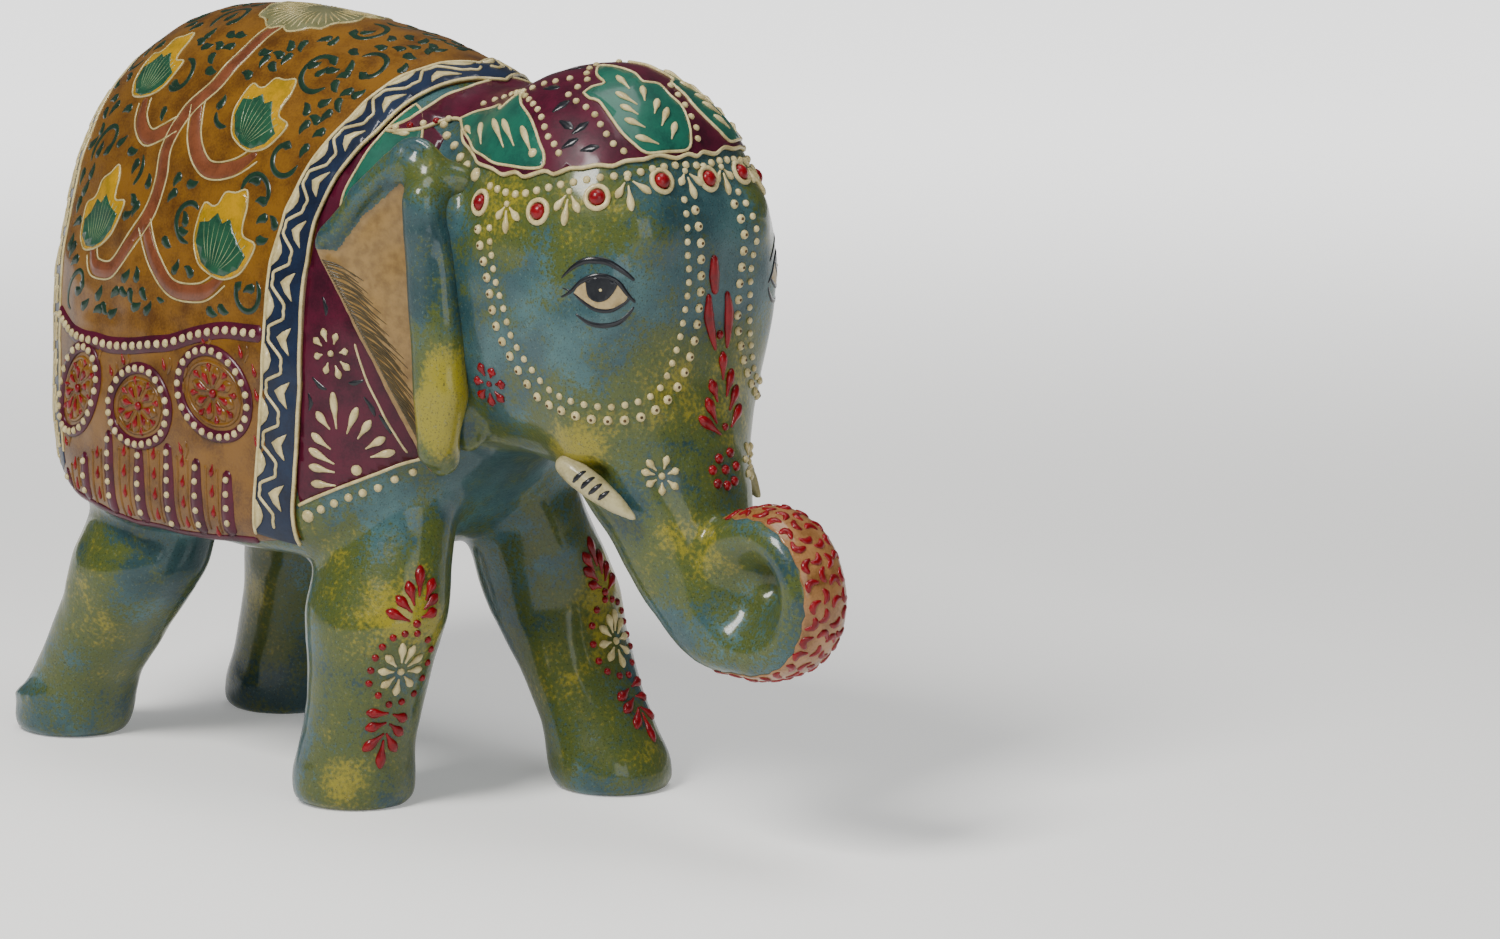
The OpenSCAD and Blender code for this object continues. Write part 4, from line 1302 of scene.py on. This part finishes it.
OUTER_LOOP = [
    (55, -42, 180), (60, -43, 166), (62, -42, 157), (65, -42, 149), (70, -40, 141), (76, -38, 133),
    (85, -37, 130), (95, -32, 128), (103, -22, 129), (106, -12, 136), (107, -6, 148), (107, -4, 162),
    (108, -5, 178), (107, -6, 188),
]
INNER_LOOP = [
    (60, -42, 181), (63, -43, 167), (67, -42, 157), (70, -42, 149), (75, -40, 142), (81, -39, 136),
    (90, -36, 133), (99, -29, 132), (105, -18, 136), (106, -12, 147), (107, -10, 157), (108, -9, 168),
    (108, -10, 178), (105, -9, 191),
]
on_skin = snapped(skin)


def on_side(p, side):
    """The same place on either side of the face; in front, the left side's work sits a little over."""
    x, y, z = p
    if side < 0:
        return (x, y, z)
    return (x, -y + min(max((x - 94) / 12, 0), 1) * (8 if z < 180 else 4), z)


def rosette(paint, middle, heads, share, bead, drop):
    """A bead with drops drawn out round it; bead and drop are each a width and a height."""
    middle = Vector(middle)
    paint.bead(on_skin(*middle), *bead)
    for head in heads:
        head = Vector(head)
        paint.drop(on_skin, middle.lerp(head, share), head, *drop)


face_cream, face_red, hollow_shade_dots = Paint(), Paint(), Paint()
for side in (-1, 1):
    for p in along([on_side(p, side) for p in BROW_ROW], 3.9):
        face_cream.bead(on_skin(*p), 1.2, 1.0)
    for k, p in enumerate(NECK_ROW):
        face_cream.bead(on_skin(*on_side(p, side)), 1.35 + 0.1 * k, 1.2)
    face_cream.bead(on_skin(*on_side((48, -36, 194), side)), 2.2, 1.3)
    for p in CABOCHONS[: 5 if side < 0 else 4]:
        place = on_side(p, side)
        face_red.bead(on_skin(*place), 2.5, 1.9, 0.1)
        circle = [(3.2 * math.cos(a), 3.3 * math.sin(a)) for a in np.arange(0, 6.2, 0.52)]
        face_cream.line(Board(place), circle, 0.85, 0.9, closed=True)
    for spray in SPRAYS:
        start, *heads = [on_side(p, side) for p in spray]
        rosette(face_cream, start, heads, 0.25, (0.95, 0.9), (1.25, 1.2))
    for p in along([on_side(p, side) for p in OUTER_LOOP], 4.75, 0.5):
        face_cream.bead(on_skin(*p), 1.42, 1.1)
        # a dark brown dot on top of each outer-loop bead: painted shade standing in for the small hollow in
        # the bead's middle
        hollow_shade_dots.bead(on_skin(*p), 0.5, 0.3, 0.97)
    for p in along([on_side(p, side) for p in INNER_LOOP], 3.95, 0.5):
        face_cream.bead(on_skin(*p), 1.05, 0.9)
face_cream.finish("face_cream_beads", cream)
face_red.finish("face_red_cabochons", crimson)
# dark brown for those dots, a painted shade for the bead hollows
hollow_shade_paint = brushed("painted shade of bead hollows", "#4A3418", "#33230F", 3.0, 0.4, 0.2, 0.02)
hollow_shade_dots.finish("face_bead_painted_shade", hollow_shade_paint)


# ---------------------------------------------------------------------------------------------
# The eyes: painted flat with a fine brush, cream almonds with a dark iris under a heavy black lid,
# a brow above and a curved line below.
# ---------------------------------------------------------------------------------------------
ALMOND = [
    (92, -39, 165), (94, -38, 168), (97, -36, 169.4), (100, -34, 169.4), (102, -31, 168),
    (103.5, -29, 165), (103, -30, 162.5), (101, -33, 160.8), (98, -36, 161), (95, -38, 162.8),
]
IRIS = [
    (94.8, -37, 168.4), (95.8, -37, 164.4), (98.2, -35.5, 162.8), (100.6, -33.5, 164),
    (101.8, -31.5, 168.2), (98, -35, 169.8),
]
UPPER_LID = [
    (88.5, -40.5, 163.6), (91, -39.5, 165.2), (94, -38, 168.4), (97, -36, 170), (100, -34, 170),
    (102, -31, 168.2), (103.4, -29, 165), (104.4, -27, 162.6),
]
LOWER_LID = [
    (92, -39, 165), (95, -38, 162.6), (98, -36, 160.6), (101, -33, 160.4), (103, -30, 162.2),
    (104, -28, 164),
]
BROW = [
    (88, -40, 169), (91, -39, 172), (94, -37, 174.2), (97, -35, 174.6), (100, -33, 174),
    (103, -30, 171.4), (104, -27, 169),
]
POUCH = [
    (93, -39, 159), (96, -37, 156.8), (99, -34, 156), (102, -31, 156.8), (103, -28, 159),
    (104, -27, 161),
]
EYE = (98, -35, 165)
right_eye = Board(EYE)


def drawn(points):
    """The points of the right eye as a flat drawing, which is mirrored for the left one."""
    return [right_eye.flat(p) for p in points]


eye_cream = brushed("eye cream paint", "#A28F68", "#8B7750", 3.0, 0.42, 0.2, 0.02)
eye_white, eye_black, glint = Paint(), Paint(), Paint()
for side in (-1, 1):
    eye = Board(EYE, side)
    eye_white.patch(eye, rounded(drawn(ALMOND), 0.8), 0.12, cell=1.5)
    eye_black.patch(eye, rounded(drawn(IRIS), 0.8), 0.22, cell=1.5)
    eye_black.line(eye, drawn(UPPER_LID), [0.25, 0.5, 0.8, 0.95, 0.95, 0.85, 0.7, 0.4], 0.3, step=1.0)
    eye_black.line(eye, drawn(LOWER_LID), [0.3, 0.55, 0.65, 0.65, 0.55, 0.3], 0.28, step=1.0)
    eye_black.line(eye, drawn(BROW), [0.2, 0.65, 1.0, 1.15, 1.05, 0.85, 0.55], 0.28, step=1.0)
    eye_black.line(eye, drawn(POUCH), [0.3, 0.7, 0.85, 0.8, 0.6, 0.3], 0.26, step=1.0)
    eye_black.line(eye, drawn([(88.6, -40.2, 166.2), (91.4, -39.4, 165.4)]), [0.15, 0.35], 0.26)
    glint.bead(eye(0.6, 1.2), 0.45, 0.2, 0.22)
eye_white.finish("eye_whites", eye_cream)
eye_black.finish("eye_lines", black)
glint.finish("eye_glints", cream)


# ---------------------------------------------------------------------------------------------
# Cone work on the face's midline, cheeks and legs: crimson drops, sprays and dots, and cream
# daisies, each squeezed on over the dry sponged ground.
# ---------------------------------------------------------------------------------------------
SPRIG = [
    ((107, 6, 137), (107, 6, 144.5)), ((108, 3, 131), (107, 1, 137)), ((109, 2, 125), (108, -1, 132)),
    ((109, 3, 121.5), (108, -4, 127)), ((107, 7, 132), (106, 10, 139)), ((108, 8, 128), (106, 12, 134)),
    ((108, 8, 123), (107, 13, 128.5)),
]
DOTS = [
    (111, 1, 115), (110, 6, 116), (111, 8, 112), (111, -2, 112), (111, 3, 111.5), (112, 6, 108),
    (112, -1, 108), (112, 2.5, 107),
]
CHEEK = [
    (55, -41, 140), (60, -41, 139), (52, -40, 135), (63, -39, 135), (52, -38, 130), (56, -37, 128),
    (61, -37, 130),
]
DAISY = [
    (104, -21, 116), (107, -16, 117), (108, -13, 113), (109, -14, 108), (107, -18, 106.5),
    (104, -21, 109), (103, -22, 113),
]
LEG_TOP_SPRAY = [
    ((25, -37, 67), (23, -35, 75)), ((25, -39, 64.5), (23, -39.5, 71)), ((25, -40, 62.5), (22, -43, 67)),
    ((25, -41, 60), (21, -46, 63)), ((25, -35, 65.5), (25, -31.5, 71)), ((26, -36, 63), (26, -31, 66.5)),
    ((25, -37, 60.5), (26, -32, 62)),
]
LEG_DAISY = [
    (23, -42, 53), (24, -38.5, 52), (22, -34.5, 49), (21, -33, 44), (19, -35, 39), (18, -40, 36.5),
    (17, -44.5, 39.5), (18, -46.5, 44.5), (20, -45.5, 49.5),
]
LEG_RING = [
    (24, -38, 56.5), (24, -42, 56.3), (23, -45.5, 55), (21, -48, 52), (19, -49, 48.5), (17, -49, 44.5),
    (15, -48, 40.5), (16, -45, 36.5), (16, -41, 33.5), (17, -37, 34), (18, -33, 36), (21, -30.5, 40),
    (22, -30, 45), (23, -31, 50), (24, -34, 54),
]
LEG_LOW_SPRAY = [
    ((16, -41, 30.5), (13, -46.5, 31)), ((15, -41, 27.5), (12, -46, 26)), ((14, -41, 24), (10, -45.5, 19.5)),
    ((13, -40.5, 22), (12, -41, 14)), ((14, -40, 24), (13, -36, 18.5)), ((15, -39.5, 27), (14, -34.5, 23.5)),
    ((16, -39, 30), (16, -34, 28)),
]


def left_leg(p):
    """The same place on the front left leg, which stands further forward."""
    ahead = float(np.interp(p[2], (12, 28, 40, 55, 75), (32, 22, 13, 6, 1)))
    return p[0] + ahead, -p[1] - 1.5, p[2]


# the three long drops between the eyes, with their half widths
FOREHEAD = [
    ([(108, 0.5, 173), (108, 1, 168), (107, 2, 163)], [1.2, 2.1, 1.3]),
    ([(107, -0.5, 162), (107, 0, 156), (107, 1.5, 151), (107, 3, 146)], [0.9, 2.0, 1.6, 0.5]),
    ([(107, 7, 162), (106, 8.5, 156), (106, 8.5, 151), (106, 8, 146)], [0.9, 1.9, 1.6, 0.5]),
]
red_cone, cream_cone = Paint(), Paint()
for path, widths in FOREHEAD:
    red_cone.line(on_skin, path, widths, 1.3)
red_cone.bead(on_skin(106, 5, 150), 1.35, 1.1)
red_cone.bead(on_skin(109, 5.3, 123.5), 1.2, 1.0)
for tail_end, head in SPRIG:
    red_cone.drop(on_skin, tail_end, head, 1.8, 1.3)
for p in DOTS:
    red_cone.bead(on_skin(*p), 1.55, 1.2)
for side in (-1, 1):
    start, *heads = [on_side(p, side) for p in [(57.5, -39.5, 134.5)] + CHEEK]
    rosette(red_cone, start, heads, 0.45, (0.95, 0.9), (1.6, 1.2))
    start, *heads = [(x, y * -side, z) for x, y, z in [(106, -17.3, 111.5)] + DAISY]
    rosette(cream_cone, start, heads, 0.38, (1.05, 0.9), (1.2, 1.1))
    put = (lambda p: p) if side < 0 else left_leg
    for tail_end, head in LEG_TOP_SPRAY + LEG_LOW_SPRAY:
        red_cone.drop(on_skin, put(tail_end), put(head), 1.75, 1.2)
    for p in LEG_RING:
        red_cone.bead(on_skin(*put(p)), 1.15, 1.0)
    red_cone.bead(on_skin(*put((25, -38.5, 59))), 1.3, 1.0)
    start, *heads = [put(p) for p in [(20, -40, 44)] + LEG_DAISY]
    rosette(cream_cone, start, heads, 0.34, (1.2, 1.0), (1.35, 1.2))
red_cone.finish("crimson_cone_work", crimson)
cream_cone.finish("cream_daisies", cream)


# ---------------------------------------------------------------------------------------------
# The outer face of the rolled trunk: a strip left in pale tan, from under the trunk round to where
# the roll meets the face, closely set with raised crimson commas.
# ---------------------------------------------------------------------------------------------
ROLL_X, ROLL_Z, ROLL_R = 131.9, 78.97, 25.0
# the strip's ends round the roll, its half width, and how far out a comma may reach
STRIP_LOW, STRIP_HIGH, STRIP_HALF, COMMA_REACH = -54.0, 53.0, 8.6, 7.8


def roll(arc, y):
    """The roll's outer face: arc is the distance forwards and up round it from its foremost point."""
    angle = arc / ROLL_R
    way = Vector((math.cos(angle), 0, math.sin(angle)))
    start = Vector((ROLL_X, y, ROLL_Z)) + way * (ROLL_R + 6)
    co, normal, _, _ = skin.ray_cast(start * MM, -way)
    if co is None:
        co, normal, _, _ = skin.find_nearest((start - way * 6) * MM)
    return co / MM, normal


tan_paint = brushed("tan strip paint", "#90683F", "#6A451E", 6.0, 0.42, 0.5, 0.08)
strip, commas = Paint(), Paint()
edge = []
for a in np.linspace(STRIP_LOW, STRIP_HIGH, 40):
    # how far out towards the strip's ends, where it narrows
    out = abs(2 * (a - STRIP_LOW) / (STRIP_HIGH - STRIP_LOW) - 1)
    edge.append((a, STRIP_HALF * min(1, (1.15 - out) / 0.3) ** 0.5 + 0.3 * math.sin(a * 0.9)))
strip.patch(roll, edge + [(a, -w) for a, w in reversed(edge)], 0.25, cell=2.2)
strip.finish("trunk_strip", tan_paint)
random = np.random.RandomState(5)
for row in range(18):
    for column in range(4):
        a = STRIP_LOW + 3.0 + row * 5.8 + random.uniform(-0.7, 0.7) + (1.6 if column % 2 else 0)
        y = -6.3 + column * 4.2 + random.uniform(-0.5, 0.5)
        turn, bend = random.uniform(0, 6.28), random.uniform(0.8, 1.5)
        c, s = math.cos(turn), math.sin(turn)
        curl = [(-2.0, -bend), (-0.9, 0.3 * bend), (0.6, 0.5 * bend), (1.8, -0.5 * bend)]
        turned = [(a + u * c - w * s, y + u * s + w * c) for u, w in curl]
        kept = [(u, max(-COMMA_REACH, min(COMMA_REACH, w))) for u, w in turned]
        commas.line(roll, kept, [0.5, 1.1, 1.25, 0.7], 0.6, 0.2, step=1.0)
commas.finish("trunk_strip_commas", crimson)


# ---------------------------------------------------------------------------------------------
# Camera, floor and light: the show view from the elephant's front right, on a pale plain floor that
# glows a little behind it, with a soft key light, one overhead and a fill from in front.
# ---------------------------------------------------------------------------------------------
floor_bm = bmesh.new()
bmesh.ops.create_grid(floor_bm, x_segments=1, y_segments=1, size=6)
floor_mesh = bpy.data.meshes.new("floor")
floor_bm.to_mesh(floor_mesh)
floor_bm.free()
pale, tree = start_material("pale floor")
varnish(tree, mixed(tree, grain(tree, 400.0), srgb("#F2F2F0"), srgb("#EEEEEC")), 0.85, 0.0)
lit = next(n for n in tree.nodes if n.type == "BSDF_PRINCIPLED")
lit.inputs["Emission Color"].default_value = (1.0, 1.0, 1.0, 1.0)
where = add(tree, "ShaderNodeTexCoord").outputs["Object"]
# metres behind the figure, away from the camera
behind = add(
    tree, "ShaderNodeVectorMath", {0: where, 1: (-0.67, 0.74, 0.0)}, operation="DOT_PRODUCT"
).outputs["Value"]
glow = maths(tree, "ADD", maths(tree, "MULTIPLY", ramp(tree, behind, 0.3, 1.6), 1.6), 0.25)
tree.links.new(glow, lit.inputs["Emission Strength"])
floor_mesh.materials.append(pale)
new_object("floor", floor_mesh)

target, distance = Vector((-29.53, 0, 110)) * MM, 2.0
azimuth, elevation = math.radians(48), math.radians(10)
level_way = math.cos(elevation)
back = Vector((math.sin(azimuth) * level_way, -math.cos(azimuth) * level_way, math.sin(elevation)))
camera_data = bpy.data.cameras.new("camera")
camera_data.lens = 158.9
camera_data.sensor_width = 36
camera_data.shift_x, camera_data.shift_y = 0.2407, -0.0377
camera = new_object("camera", camera_data)
camera.location = target + back * distance
camera.rotation_euler = back.to_track_quat("Z", "Y").to_euler()
bpy.context.scene.camera = camera


AIM = (0.0, 0.0, 0.11)


def area_light(name, place, size, power, colour):
    """A soft box of the given size in metres and power in watts, aimed at the figure's middle."""
    data = bpy.data.lights.new(name, "AREA")
    data.shape = "RECTANGLE"
    data.size, data.size_y = size
    data.energy = power
    data.color = colour
    light = new_object(name, data)
    light.location = place
    light.rotation_euler = (Vector(place) - Vector(AIM)).to_track_quat("Z", "Y").to_euler()


area_light("key", (0.15, -0.95, 1.2), (0.4, 0.55), 27.0, (1.0, 0.98, 0.95))
area_light("overhead", (0.1, 0.2, 1.5), (1.0, 0.6), 10.0, (1.0, 1.0, 1.0))
area_light("fill", (1.4, -0.5, 0.5), (0.8, 0.8), 6.0, (0.96, 0.98, 1.0))
world = bpy.data.worlds.new("world")
world.use_nodes = True
sky = world.node_tree.nodes["Background"]
sky.inputs["Color"].default_value = (1.0, 1.0, 1.0, 1.0)
sky.inputs["Strength"].default_value = 0.12
bpy.context.scene.world = world
